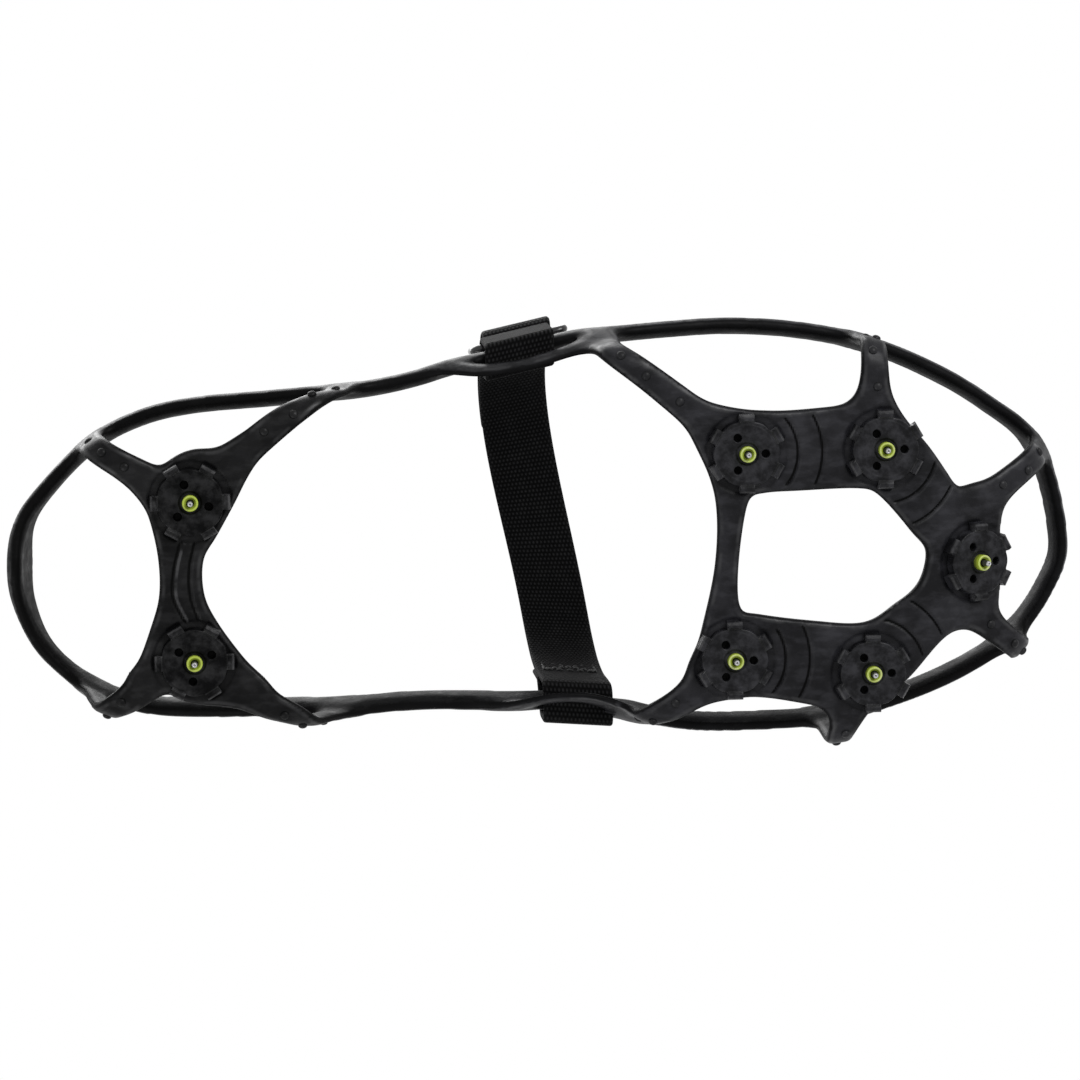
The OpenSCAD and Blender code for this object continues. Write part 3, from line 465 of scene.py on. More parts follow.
# The outline is evened along its length, then the rim and the arms are worn; the webs keep crisp seats and grooves
on_rim = np.bincount(rim_sides.ravel(), minlength=size) > 0
along_rim = np.vstack([rim_sides, rim_sides[:, ::-1]])
links = np.vstack([sides[first], sides[first][:, ::-1]])
links = np.vstack([along_rim, links[~on_rim[links[:, 0]]]])
WEAR, OUTLINE_PASSES, RUBBER_PASSES = 0.5, 10, 6
soft = worn(
    np.vstack([inner, outer]), np.vstack([along_rim, along_rim + size]), np.tile(WEAR * on_rim, 2), OUTLINE_PASSES)
soft = worn(soft, np.vstack([links, links + size]), np.tile(WEAR * ease(web_gap, 0.5, 5), 2), RUBBER_PASSES)


def mesh_object(name, points, *face_sets, **values):
    """Mesh from points in millimetres and arrays of faces with three or four corners, shaded smooth. Each named value
    is one number for each point, for the material to read."""
    mesh = bpy.data.meshes.new(name)
    faces = [f for f in face_sets if len(f)]
    mesh.vertices.add(points[..., 0].size)
    mesh.vertices.foreach_set("co", (np.asarray(points, np.float64) * 0.001).astype(np.float32).ravel())
    loops = np.concatenate([f.ravel() for f in faces]).astype(np.int32)
    totals = np.concatenate([np.full(len(f), f.shape[1]) for f in faces])
    mesh.loops.add(len(loops))
    mesh.loops.foreach_set("vertex_index", loops)
    mesh.polygons.add(len(totals))
    mesh.polygons.foreach_set("loop_start", (np.cumsum(totals) - totals).astype(np.int32))
    mesh.polygons.foreach_set("use_smooth", np.ones(len(totals), bool))
    mesh.update(calc_edges=True)
    mesh.validate()
    for key, value in values.items():
        mesh.attributes.new(key, "FLOAT", "POINT").data.foreach_set("value", np.asarray(value, np.float32).ravel())
    made = bpy.data.objects.new(name, mesh)
    bpy.context.scene.collection.objects.link(made)
    return made


def tube_faces(grid, closed=False):
    """Faces of one or many grids of points in rows that close round: a corner, the next along, and their neighbours
    round the ring. A closed grid also joins its last row to its first."""
    i = np.arange(grid[..., 0].size).reshape(-1, *grid.shape[-3:-1])
    if closed:
        i = np.concatenate([i, i[:, :1]], 1)
    j = np.roll(i, -1, 2)
    return np.stack([i[:, :-1], i[:, 1:], j[:, 1:], j[:, :-1]], 3).reshape(-1, 4)


harness = mesh_object(
    "rubber_harness", soft, quads, three, quads[:, ::-1] + size, three[:, ::-1] + size,
    np.stack([rim_sides[:, 1], rim_sides[:, 0], rim_sides[:, 0] + size, rim_sides[:, 1] + size], 1),
    from_edge=np.tile(inside, 2), groove=np.concatenate([groove_shade_highlight_mark * 0, groove_shade_highlight_mark]),
    outside=np.repeat([0.0, 1.0], size),
)


class Wire:
    """One socket of a shader tree. Arithmetic on wires and numbers adds Math nodes, and node() adds any other."""

    def __init__(self, tree, socket=None):
        self.tree, self.socket = tree, socket

    def node(self, kind, settings=None, sockets=None, out=0):
        """Adds a node of a type, sets its settings, then its sockets from values or wires."""
        made = self.tree.nodes.new("ShaderNode" + kind)
        for key, value in (settings or {}).items():
            setattr(made, key, value)
        for key, value in (sockets or {}).items():
            if isinstance(value, Wire):
                self.tree.links.new(value.socket, made.inputs[key])
            else:
                made.inputs[key].default_value = value
        return Wire(self.tree, made.outputs[out])

    def maths(self, operation, a, b=0.0):
        """Math node of two wires or numbers."""
        return self.node("Math", {"operation": operation}, {0: a, 1: b})

    def __add__(self, other): return self.maths("ADD", self, other)
    def __radd__(self, other): return self.maths("ADD", other, self)
    def __sub__(self, other): return self.maths("SUBTRACT", self, other)
    def __rsub__(self, other): return self.maths("SUBTRACT", other, self)
    def __mul__(self, other): return self.maths("MULTIPLY", self, other)
    def __rmul__(self, other): return self.maths("MULTIPLY", other, self)
    def __truediv__(self, other): return self.maths("DIVIDE", self, other)
    def __pow__(self, other): return self.maths("POWER", self, other)

    def step(self, lo, hi):
        """Smooth step of a wire: 0 at lo and 1 at hi."""
        return self.node("MapRange", {"interpolation_type": "SMOOTHSTEP"}, {0: self, 1: lo, 2: hi, 3: 0.0, 4: 1.0})

    def tint(self, a, b):
        """Colour that goes from a to b as the wire goes from 0 to 1."""
        a, b = (c if isinstance(c, Wire) else (*c, 1) for c in (a, b))
        return self.node("Mix", {"data_type": "RGBA"}, {0: self, 6: a, 7: b}, out=2)

    def noise(self, at, scale, detail=3.0, rough=0.55):
        """Noise of a scale at a place, from 0 to 1."""
        return self.node("TexNoise", {}, {"Vector": at, "Scale": scale, "Detail": detail, "Roughness": rough})

    def stored(self, name):
        """Number that a piece keeps for each of its points."""
        return self.node("Attribute", {"attribute_name": name}, out=2)


def finish_of(name, colour, rough, height, bump, plain, coat=None):
    """Material: colour, roughness and coat wires into one Principled shader, height into its bump, plain values as
    they are."""
    tree = colour.tree
    shader = tree.nodes["Principled BSDF"]
    for socket, value in plain.items():
        shader.inputs[socket].default_value = value
    tree.links.new(colour.socket, shader.inputs["Base Color"])
    tree.links.new(rough.socket, shader.inputs["Roughness"])
    if coat is not None:
        tree.links.new(coat.socket, shader.inputs["Coat Weight"])
    raised = colour.node("Bump", {}, {"Height": height, "Strength": bump[0], "Distance": bump[1]})
    tree.links.new(raised.socket, shader.inputs["Normal"])
    return bpy.data.materials[name]


def material_tree(name):
    """New node material, as a wire with no socket that the first nodes hang from, and its object coordinates in
    metres."""
    made = bpy.data.materials.new(name)
    made.use_nodes = True
    w = Wire(made.node_tree)
    return w, w.node("TexCoord", out=3)


RUBBER_SHINE = {"Specular IOR Level": 0.045, "Coat Roughness": 0.34}


def moulded_rubber(name, dark, light, marked):
    """Soft rubber: charcoal clouds and streaks, blacker at the heel, painted shade on the foot side, painted shade on
    the rolled edge with a painted highlight line inside it, painted shade in the grooves with a painted highlight on
    their lip, and a patchy sheen over fine grain."""
    w, at = material_tree(name)
    cloud = w.noise(at, 75.0, 4.0).step(0.36, 0.66)
    streak = w.noise(w.node("Mapping", {}, {0: at, 3: (1.0, 2.2, 1.0)}), 190.0, 3.0).step(0.42, 0.7)
    forward = w.node("SeparateXYZ", {}, {0: at}).step(-0.07, 0.045)
    mottle = cloud * 0.55 + streak * 0.45
    colour = mottle.tint(dark, light)
    colour = (0.12 + forward * 0.88).tint((0.0012, 0.0012, 0.0013), colour)
    sheen = 0.08 + mottle * (0.3 - forward * 0.1) + forward * 0.06
    rough = 0.5 + cloud * 0.12 - streak * 0.08
    if marked:
        inside = w.stored("from_edge")
        groove = w.stored("groove")
        outside = w.stored("outside")
        # Painted highlight: a paler band just inside the rolled edge, where its bevel would catch the light.
        edge_line = inside.step(0.45, 0.9) * (1 - inside.step(1.1, 1.9))
        painted_highlight = edge_line * w.noise(at, 160.0, 3.0).step(0.38, 0.62)
        # Painted shade: the rolled edge itself is painted near black.
        edge_shade = 1 - inside.step(0.1, 0.6)
        colour = (painted_highlight * 0.4).tint(colour, (0.035, 0.035, 0.037))
        colour = (edge_shade * 0.75).tint(colour, (0.0014, 0.0014, 0.0014))
        # Painted shade: the grooves are painted near black.
        sunk = groove.step(0.15, 0.75)
        colour = sunk.tint(colour, (0.0008, 0.0008, 0.0008))
        # Painted highlight: a paler line on the lip beside each groove.
        lip_highlight = (groove * -1.0).step(0.1, 0.6) * w.noise(at, 220.0, 2.0).step(0.3, 0.6) * (1 - forward * 0.85)
        colour = (lip_highlight * 0.75).tint(colour, (0.075, 0.075, 0.078))
        # Painted shade: the foot side, the inner sheet of the rubber, is painted near black.
        colour = (0.25 + outside * 0.75).tint((0.0012, 0.0012, 0.0013), colour)
        sheen = (sheen * (1 - edge_shade * 0.8) + painted_highlight * 0.25) * (0.2 + outside * 0.8) * (1 - sunk)
        rough = rough - lip_highlight * 0.12
    grain = w.noise(at, 1500.0, 2.0) * 0.35 + w.noise(at, 300.0, 3.0)
    return finish_of(name, colour, rough, grain, (0.4, 0.0006), RUBBER_SHINE, sheen)


harness.data.materials.append(moulded_rubber("soft_black_rubber", (0.005, 0.005, 0.006), (0.023, 0.023, 0.0275), True))

# Small domes moulded on the outer face of the arms: first and last length along each arm, and the pitch between them
NUB_R, NUB_H, NUB_PITCH = 1.3, 0.85, 8.6
nub_spans = (
    (16, 50, NUB_PITCH), (12, 44, NUB_PITCH), (18, 45, 10.2), (17, 58, NUB_PITCH), (12, 60, NUB_PITCH),
    (16, 50, NUB_PITCH), (12, 44, NUB_PITCH), (14, 52, NUB_PITCH), (16, 52, NUB_PITCH), (12, 56, NUB_PITCH),
)


def lengths_along(points):
    """Length of a line from its first point to each of its points."""
    return np.concatenate([[0], np.cumsum(np.linalg.norm(np.diff(points, axis=0), axis=1))])


def spots_along(line, lengths, short=12):
    """Points at lengths along a line, by the length of the rubber in space, that stop short of its end."""
    run = lengths_along(harness_point(line)[0])
    lengths = lengths[lengths < run[-1] - short]
    return np.stack([np.interp(lengths, run, line[:, k]) for k in range(2)], 1)


nub_flat = np.vstack([spots_along(line, np.arange(*span)) for line, span in zip(arm_lines, nub_spans)])
wiggle = np.where(np.arange(len(nub_flat)) % 2, 1.0, -1.0)
nub_flat = nub_flat + np.stack([wiggle * 0.7, wiggle * 0.5], 1)
nub_place, _, nub_thick, _, _ = harness_at(nub_flat)
nub_down = -foot_side(nub_flat)
nub_side = unit(np.cross(nub_down, (0.31, 0.52, 0.8)))
nub_turn = np.cross(nub_down, nub_side)


def dome(place, axis, side, turn, radius, high):
    """Domes at many places: rings of a half ellipse about each axis, from just under the face to the pole."""
    v = np.linspace(-0.25, 1, 7)[:, None, None] * np.pi / 2
    a = np.linspace(0, 2 * np.pi, 15)[:-1][None, :, None]
    ring = np.cos(np.maximum(v, 0)) * radius
    lift = np.where(v < 0, -0.6, np.sin(np.maximum(v, 0)) * high)
    rows = (place[:, None, None] + ring * (np.cos(a) * side[:, None, None] + np.sin(a) * turn[:, None, None])
            + lift * axis[:, None, None])
    return rows, tube_faces(rows)[:, ::-1]


nubs = mesh_object("arm_nubs", *dome(
    nub_place + nub_down * nub_thick[:, None] / 2, nub_down, nub_side, nub_turn, NUB_R, NUB_H))
nubs.data.materials.append(moulded_rubber("nub_rubber", (0.006, 0.006, 0.0066), (0.025, 0.025, 0.028), False))

for piece in (harness, nubs):
    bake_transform(piece)
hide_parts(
    "forefoot_web", "heel_web", "rim_toe", "rim_heel", "side_bar_outer", "side_bar_inner",
    "stretch_band_outer", "stretch_band_inner", "stringer_outer", "stringer_inner",
    *("arm_" + a + "_" + s for s in ("outer", "inner") for a in ("toe", "ball", "instep", "heel_front", "heel_rear")),
)


# Stud pads
# Seven round treads of the same rubber, moulded on the lower face of the webs. Each is a flat disc with six small
# brick lugs standing on its rim, three blind holes and a shallow well round the collar of the stud.

# Pad: height, radius, radius of its level part, and round of its edge
PAD_H, PAD_R, CORE_R, PAD_ROUND = 2.5, 9.0, 8.2, 0.4
# Lugs: depth below the pad, inner and outer side from the stud, half width, and bevels of these three
LUG_DOWN, LUG_IN, LUG_OUT, LUG_HALF = 0.9, 8.7, 11.0, 2.4
BEVEL_IN, BEVEL_OUT, BEVEL_SIDE = 0.6, 0.95, 0.4
# One spoke a degree
SPOKES = 360
# Depth of the well, then holes: distance from the stud, radius and depth
WELL, HOLE_AT, HOLE_R, HOLE_DEEP = 0.35, 5.2, 1.2, 1.9
# Turn of each heel pad about its stud and of its holes on the pad, in degrees
PAD_TURN = {"outer_heel": (30, -17), "inner_heel": (30, 66)}


def stud_frame(name):
    """Place and axes of a stud: the point under it on the lower face of the web, along, across, and up through it."""
    x, y = STUDS[name]
    turn = TOE_RISE if name == "toe" else 0.0
    up = np.array([-np.sin(turn), 0, np.cos(turn)])
    at = base_point(np.array([[x, y]]))[0] - up * WEB_T / 2
    return at, np.array([np.cos(turn), 0, np.sin(turn)]), np.array([0.0, 1.0, 0.0]), up


def pad_surface(hole_turn):
    """Pad as drop below the web over rings and spokes: the disc's face, raised by a bevelled block at each lug, sunk
    by the well and the holes, rounded over at the outline, then down the wall to the web. The outline is the disc's
    circle, or the outer side of a lug where a spoke meets one."""
    spoke = np.radians(np.arange(SPOKES))
    near = np.mod(spoke, np.pi / 3) - np.pi / 6
    lug_wall = LUG_OUT / np.cos(near)
    on_lug = ease(np.abs(np.sin(near) * lug_wall), LUG_HALF + 0.05, LUG_HALF - 0.2)
    outline = PAD_R + 0.15 - 0.2 * np.cos(near * 6)
    outline = outline + (lug_wall - outline) * on_lug
    core = np.linspace(2.0, CORE_R, 34)[:, None] * np.ones(SPOKES)
    out = CORE_R + (outline - CORE_R) * np.linspace(0, 1, 19)[1:, None]
    r = np.vstack([core, out])
    x, y = r * np.cos(near), r * np.sin(near)
    lug = np.minimum((x - LUG_IN) / BEVEL_IN, (LUG_OUT + 0.1 - x) / BEVEL_OUT)
    lug = np.clip(np.minimum(lug, (LUG_HALF - np.abs(y)) / BEVEL_SIDE), 0, 1)
    drop = PAD_H + LUG_DOWN * lug
    drop = drop - WELL * ease(r, 3.4, 2.8) + 0.1 * np.exp(-((r - 7.9) / 0.3) ** 2) * (1 - lug)
    pit = np.zeros_like(r)
    for turn in np.radians(np.array((0, 120, 240)) + hole_turn):
        gap = np.hypot(r * np.cos(spoke) - HOLE_AT * np.cos(turn), r * np.sin(spoke) - HOLE_AT * np.sin(turn))
        pit = np.maximum(pit, ease(gap, HOLE_R, HOLE_R - 0.25))
        drop = drop + 0.08 * np.exp(-((gap - HOLE_R - 0.25) / 0.2) ** 2)
    drop = drop - HOLE_DEEP * pit
    lip = np.clip((outline - r) / PAD_ROUND, 0, 1)
    drop = drop - PAD_ROUND * (1 - np.sqrt(1 - (1 - lip) ** 2))
    wall = np.linspace(1, 0, 7)[1:, None]
    r = np.vstack([r, outline + 0.25 * (1 - wall) ** 2])
    drop = np.vstack([drop, drop[-1] * wall - 0.3 * (1 - wall)])
    lug = np.vstack([lug, lug[-1:] * wall])
    pit = np.vstack([pit, wall * np.zeros(SPOKES)])
    return r, spoke, drop, lug, pit


def tread_rubber(name):
    """Tread rubber: as the harness, with painted shade in the holes, lug tops paler for wear and as a painted
    highlight, a painted highlight on the lug bevels, and fine grit in the face.
    """
    w, at = material_tree(name)
    cloud = w.noise(at, 230.0, 5.0, 0.62).step(0.36, 0.7)
    lug = w.stored("lug")
    pit = w.stored("pit")
    # Lug tops: paler for wear and, partly, as a painted highlight.
    lug_top_wear_and_highlight = lug * w.noise(at, 420.0, 4.0).step(0.5, 0.8)
    forward = w.node("SeparateXYZ", {}, {0: at}).step(-0.07, 0.04)
    colour = cloud.tint((0.004, 0.004, 0.0048), (0.022, 0.022, 0.026))
    colour = (0.15 + forward * 0.85).tint((0.0014, 0.0014, 0.0015), colour)
    # Painted highlight: the bevels round each lug are painted paler.
    bevel = lug.step(0.05, 0.4) * (1 - lug.step(0.6, 0.95)) * (0.35 + cloud * 0.65)
    colour = w.maths("MAXIMUM", lug_top_wear_and_highlight * 0.55, bevel * 0.75).tint(colour, (0.07, 0.07, 0.073))
    # Painted shade: the blind holes are painted near black.
    colour = pit.tint(colour, (0.0006, 0.0006, 0.0006))
    rough = 0.48 + cloud * 0.14 + lug_top_wear_and_highlight * 0.12
    sheen = (cloud * (0.4 - forward * 0.15) + forward * 0.14 + bevel * 0.2) * (1 - pit)
    grain = w.noise(at, 1500.0, 2.0) * 0.4 + w.noise(at, 320.0, 3.0) + cloud * 0.5
    return finish_of(name, colour, rough, grain, (0.5, 0.0007), RUBBER_SHINE, sheen)


tread = tread_rubber("pad_rubber")
for name in STUDS:
    at, along_axis, across_axis, up = stud_frame(name)
    turn, hole_turn = PAD_TURN.get(name, (0, 0))
    pad_r, pad_spoke, pad_drop, pad_lug, pad_pit = pad_surface(hole_turn)
    a = (pad_spoke + np.radians(turn))[None, :, None]
    spot = at + pad_r[..., None] * (np.cos(a) * along_axis + np.sin(a) * across_axis) - pad_drop[..., None] * up
    pad = mesh_object("tread_pad_" + name, spot, tube_faces(spot), lug=pad_lug, pit=pad_pit)
    pad.data.materials.append(tread)
    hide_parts("stud_pad_" + name)
    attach(pad, "heel_half" if "heel" in name else "harness_front")


# Stud sleeves
# Turned plastic collars in lime green that carry the pins. Each is pushed down through the web from the foot side,
# where its flange sits in the washer, and its collar stands out of the pad.

def turned(name, stud, profile, steps=64):
    """Lathe piece: a profile of (radius, height above the web's lower face) carried round the stud's axis. Each
    point keeps its radius and height for the material."""
    at, along_axis, across_axis, up = stud_frame(stud)
    a = np.linspace(0, 2 * np.pi, steps + 1)[:-1][None, :, None]
    r, h = profile[:, 0][:, None, None], profile[:, 1][:, None, None]
    spot = at + r * (np.cos(a) * along_axis + np.sin(a) * across_axis) + h * up
    radius, height = (np.repeat(column, steps) for column in profile.T)
    return mesh_object(name + "_" + stud, spot, tube_faces(spot), radius=radius, height=height)


def rounded(corners, bevel):
    """Profile through corners with each inner corner cut back by the bevel and bowed: a quadratic arc between the
    two points a bevel away from it."""
    c = np.array(corners, float)
    length = np.linalg.norm(np.diff(c, axis=0), axis=1, keepdims=True)
    toward = np.diff(c, axis=0) / length
    room = np.minimum(bevel, 0.45 * length)
    cut = np.minimum(room[:-1], room[1:])
    a, b, d = c[1:-1] - toward[:-1] * cut, c[1:-1], c[1:-1] + toward[1:] * cut
    t = np.linspace(0, 1, 5)[None, :, None]
    bow = a[:, None] * (1 - t) ** 2 + 2 * b[:, None] * t * (1 - t) + d[:, None] * t ** 2
    return np.vstack([c[:1], bow.reshape(-1, 2), c[-1:]])


def collar_plastic(name):
    """Lime nylon: a painted highlight on the face, painted shade on the countersink, turning lines round the axis, and
    painted shade down in the bore and on the shank below the face.
    """
    w, at = material_tree(name)
    radius = w.stored("radius")
    height = w.stored("height")
    cloud = w.noise(at, 700.0, 3.0)
    face = (1 - height.step(-4.6, -4.15)) * radius.step(1.45, 1.7)
    slope = radius.step(1.0, 1.1) * (1 - radius.step(1.5, 1.7))
    # Painted highlight: the flat face is painted paler, patchily, and more on the forefoot studs.
    painted_highlight = face * (0.35 + cloud.step(0.4, 0.7) * 0.65)
    forward = w.node("SeparateXYZ", {}, {0: at}).step(-0.06, 0.03)
    colour = (0.35 + cloud * 0.5).tint((0.40, 0.54, 0.035), (0.56, 0.68, 0.07))
    colour = (painted_highlight * (0.2 + forward * 0.65)).tint(colour, (0.74, 0.78, 0.42))
    # Painted shade: the countersink is painted darker.
    colour = (slope * 0.45).tint(colour, (0.16, 0.22, 0.015))
    # Painted shade: the bore and the shank below the face are painted near black.
    bore_and_shank_shade = (1 - radius.step(1.02, 1.16)) * 0.97 + height.step(-4.1, -2.6) * (1 - height.step(0.0, 1.0)) * 0.7
    colour = bore_and_shank_shade.tint(colour, (0.025, 0.03, 0.008))
    ridge = w.maths("SINE", radius * 38.0) * face + cloud * 0.6
    rough = 0.36 + cloud * 0.2
    return finish_of(name, colour, rough, ridge, (0.25, 0.00012), {"Specular IOR Level": 0.45})


lime = collar_plastic("lime_nylon")
sleeve_profile = rounded([
    (0.85, -3.0), (1.05, -3.1), (1.05, -3.7), (1.65, -4.42), (1.8, -4.5), (2.08, -4.5), (2.22, -4.3), (2.22, 2.4),
    (4.4, 2.5), (4.45, 3.2), (3.9, 3.3), (2.6, 3.3), (2.4, 3.1), (1.2, 3.1), (0.9, 3.25), (0.01, 3.25),
], 0.2)
for name in STUDS:
    sleeve = turned("lime_sleeve", name, sleeve_profile[::-1])
    sleeve.data.materials.append(lime)
    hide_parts("stud_sleeve_" + name)
    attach(sleeve, "heel_half" if "heel" in name else "harness_front")


# Carbide pins
# Sintered carbide points pressed into the sleeves, ground to a chamfer with a small cup in the tip.

def ground_carbide(name):
    """Carbide: dark grey shank with fine grinding rings, a pale tip that is partly its ground finish and partly a
    painted highlight, and painted shade in the cup.
    """
    w, at = material_tree(name)
    height = w.stored("height")
    radius = w.stored("radius")
    speck = w.noise(at, 2400.0, 3.0)
    # The tip is painted pale, partly for its ground finish and partly as a painted highlight; the cup is painted
    # darker as shade.
    tip = 1 - height.step(-6.45, -6.1)
    cup_shade = 1 - radius.step(0.16, 0.34)
    bright = tip * (1 - cup_shade * 0.85)
    colour = (0.2 * speck + bright * 0.8).tint((0.035, 0.035, 0.038), (0.55, 0.55, 0.56))
    ring = w.maths("SINE", height * 60.0) * 0.4 + speck
    return finish_of(name, colour, 0.42 - bright * 0.16 + speck * 0.1, ring, (0.3, 0.00008), {"Metallic": 0.9})


carbide = ground_carbide("ground_carbide")
pin_profile = rounded([
    (0.01, -6.4), (0.18, -6.45), (0.36, -6.7), (0.55, -6.7), (0.8, -6.25), (0.82, -3.0), (0.5, -2.8), (0.01, -2.8),
], 0.1)
for name in STUDS:
    pin = turned("carbide_point", name, pin_profile[::-1], 40)
    pin.data.materials.append(carbide)
    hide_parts("carbide_pin_" + name)
    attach(pin, "heel_half" if "heel" in name else "harness_front")


# Backing washers
# Pressed steel washers let into the foot side of the webs, with a raised ring that holds the sleeve's flange.

def pressed_steel(name):
    """Zinc-plated steel: grey with soft clouds and fine rings from turning."""
    w, at = material_tree(name)
    radius = w.stored("radius")
    cloud = w.noise(at, 350.0, 4.0)
    ring = w.maths("SINE", radius * 45.0)
    colour = cloud.step(0.3, 0.7).tint((0.40, 0.40, 0.41), (0.56, 0.56, 0.57))
    return finish_of(name, colour, 0.3 + cloud * 0.2, ring * 0.3 + cloud, (0.3, 0.0001), {"Metallic": 1.0})


steel = pressed_steel("zinc_plated_steel")
washer_profile = rounded([
    (2.45, 2.45), (4.55, 2.45), (4.6, 3.2), (4.85, 3.32), (6.6, 3.32), (7.0, 3.1), (7.0, 1.9), (6.9, 1.7), (2.45, 1.7),
], 0.2)
for name in STUDS:
    washer = turned("steel_washer", name, washer_profile[::-1])
    washer.data.materials.append(steel)
    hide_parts("backing_washer_" + name)
    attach(washer, "heel_half" if "heel" in name else "harness_front")


# Strap anchor
# A short loop of black nylon webbing sewn round the outer side bar. It holds the lower bar of the ring.

# Strap: middle at the outer bar, how far it runs askew towards the toe, width and thickness
STRAP_X, STRAP_SKEW, STRAP_W, STRAP_T = -5.5, 13.5, 20.0, 1.6
# Side bars that it goes round: middles (y, z), half width and half height, and their slants
BAR_O, BAR_I = np.array([-51.506, 34.54]), np.array([48.802, 34.54])
BAR_HW, BAR_HH = 3.7, 5.538
TURN_O, TURN_I = np.radians(-12.14), np.radians(4.905)
# Lower and upper bar of the ring, (y, z)
PIVOT, RING_TOP = np.array([-54.106, 46.978]), np.array([-53.306, 57.978])


def skewed(y, across):
    """Places across the strap where its middle is at y: the middle eases towards the toe from the outer to the inner
    bar, and the width turns from the slant of the one bar to that of the other."""
    share = ease(y, BAR_O[0], BAR_I[0])
    turn = TURN_O + (TURN_I - TURN_O) * share
    return STRAP_X + STRAP_SKEW * share + across * np.cos(turn), y + across * np.sin(turn)


def spaced(path, step, closed=False):
    """Path resampled at even lengths of about one step."""
    p = np.vstack([path, path[:1]]) if closed else path
    run = lengths_along(p)
    at = np.linspace(0, run[-1], max(3, int(run[-1] / step)) + 1)
    at = at[:-1] if closed else at
    return np.stack([np.interp(at, run, p[:, k]) for k in range(p.shape[1])], 1), at


def eased(path, times, closed=False):
    """Path with its corners worn round: each pass moves every point to the mean of its neighbours and itself."""
    p = path.copy()
    for _ in range(times):
        q = (np.roll(p, 1, 0) + 2 * p + np.roll(p, -1, 0)) / 4
        if not closed:
            q[0], q[-1] = p[0], p[-1]
        p = q
    return p


def ribbon(name, path, shift, width, thick, closed=False, ends=(0.0, 0.0), root=0.0):
    """Webbing: a flat section with round selvedges, carried along a path of (y, z) with its width across the skew,
    shifted by a length. An end may be cut round, and a root lets the first end run out to an edge. Points keep their
    place across and along."""
    line, run = spaced(path, 0.7, closed)
    ahead = np.roll(line, -1, 0) - np.roll(line, 1, 0)
    if not closed:
        ahead[0], ahead[-1] = line[1] - line[0], line[-1] - line[-2]
    ahead = unit(ahead)
    side = left_of(ahead)
    flat_half = width / 2 - thick / 2
    top = np.linspace(flat_half, -flat_half, 27)
    turn = np.linspace(np.pi / 2, 3 * np.pi / 2, 7)[1:-1]
    a = np.concatenate([top, -flat_half + np.cos(turn) * thick / 2, -top, flat_half - np.cos(turn) * thick / 2])
    lift = np.concatenate([top * 0 + 1, np.sin(turn), top * 0 - 1, -np.sin(turn)]) * thick / 2
    scale = np.ones(len(line))
    for end, length in zip((run, run[-1] - run), ends):
        if length:
            scale = np.minimum(scale, np.sqrt(np.clip(1 - (1 - np.clip(end / length, 0, 1)) ** 2, 0.03, 1)))
    across, length = a[None] * scale[:, None], np.repeat(run[:, None], len(a), 1)
    x, y = skewed(line[:, 0:1], shift + across)
    spot = np.stack([x, y + side[:, 0:1] * lift, line[:, 1:2] + side[:, 1:2] * lift], 2)
    if not closed:
        caps = [spot[k] - np.outer(lift, [0, *side[k]]) for k in (0, -1)]
        caps[0] = caps[0] - root * np.array([0, *ahead[0]])
        spot = np.concatenate([caps[:1], spot, caps[1:]])
        across, length = (np.vstack([v[:1], v, v[-1:]]) for v in (across, length))
    return mesh_object(name, spot, tube_faces(spot, closed), across=across, along=length)


def nylon_webbing(name, thread, gap, light, rib):
    """Woven webbing: rows of weft floats across and warp cords along, offset every other row like bricks, with dusty
    tops, a painted highlight on the float tops and painted shade in the gaps, loose fibres and a denser selvedge."""
    w, at = material_tree(name)
    across = w.stored("across")
    along = w.stored("along")
    full_turn, quarter_turn = 6.2832, 1.5708
    odd = w.maths("FRACT", w.maths("FLOOR", along / rib) * 0.5) * 2
    u = w.maths("SINE", (across / thread + odd * 0.5) * full_turn)
    v = w.maths("SINE", along * (full_turn / rib) - quarter_turn)
    float_top = ((u * 0.5 + 0.5) ** 0.7) * ((v * 0.5 + 0.5) ** 0.5)
    fibre = w.noise(w.node("CombineXYZ", {}, {0: across * 5.0, 1: along * 1.2}), 2.2, 3.0)
    edge_cord = w.maths("ABSOLUTE", across).step(8.3, 9.2)
    dust = w.noise(at, 240.0, 4.0).step(0.4, 0.75)
    # Painted highlight on the float tops and painted shade in the gaps: the colour runs from the gap colour to the
    # light one with the weave's height.
    shade = (float_top ** 2.2) * (0.55 + fibre * 0.6) + edge_cord * 0.1
    colour = shade.tint(gap, light)
    colour = (dust * float_top * 0.35).tint(colour, (0.032, 0.032, 0.033))
    height = float_top + fibre * 0.35
    return finish_of(name, colour, 0.62 + fibre * 0.2, height, (0.7, 0.0004), {"Specular IOR Level": 0.04})


def arc(middle, radius, start, stop, count):
    """Points on a circle about a middle, from one angle to another in degrees."""
    a = np.radians(np.linspace(start, stop, count))
    return middle + radius * np.stack([np.cos(a), np.sin(a)], 1)


half_t = STRAP_T / 2
# Loop of the anchor: round the bar at half a thickness, and round the ring's bar with a little slack
PATH_STEP, ANCHOR_SLACK_R, ANCHOR_SHIFT = 0.6, 1.6, -1.5
anchor_path = np.vstack([
    BAR_O + (BAR_HW + half_t, BAR_HH), BAR_O + (BAR_HW + half_t, -BAR_HH - half_t),
    BAR_O + (-BAR_HW - half_t, -BAR_HH - half_t), arc(PIVOT, ANCHOR_SLACK_R + half_t, 180, 15, 12),
])
anchor_path = eased(spaced(anchor_path, PATH_STEP, True)[0], 3, True)
anchor = ribbon("anchor_webbing", anchor_path, ANCHOR_SHIFT, STRAP_W, STRAP_T, closed=True)
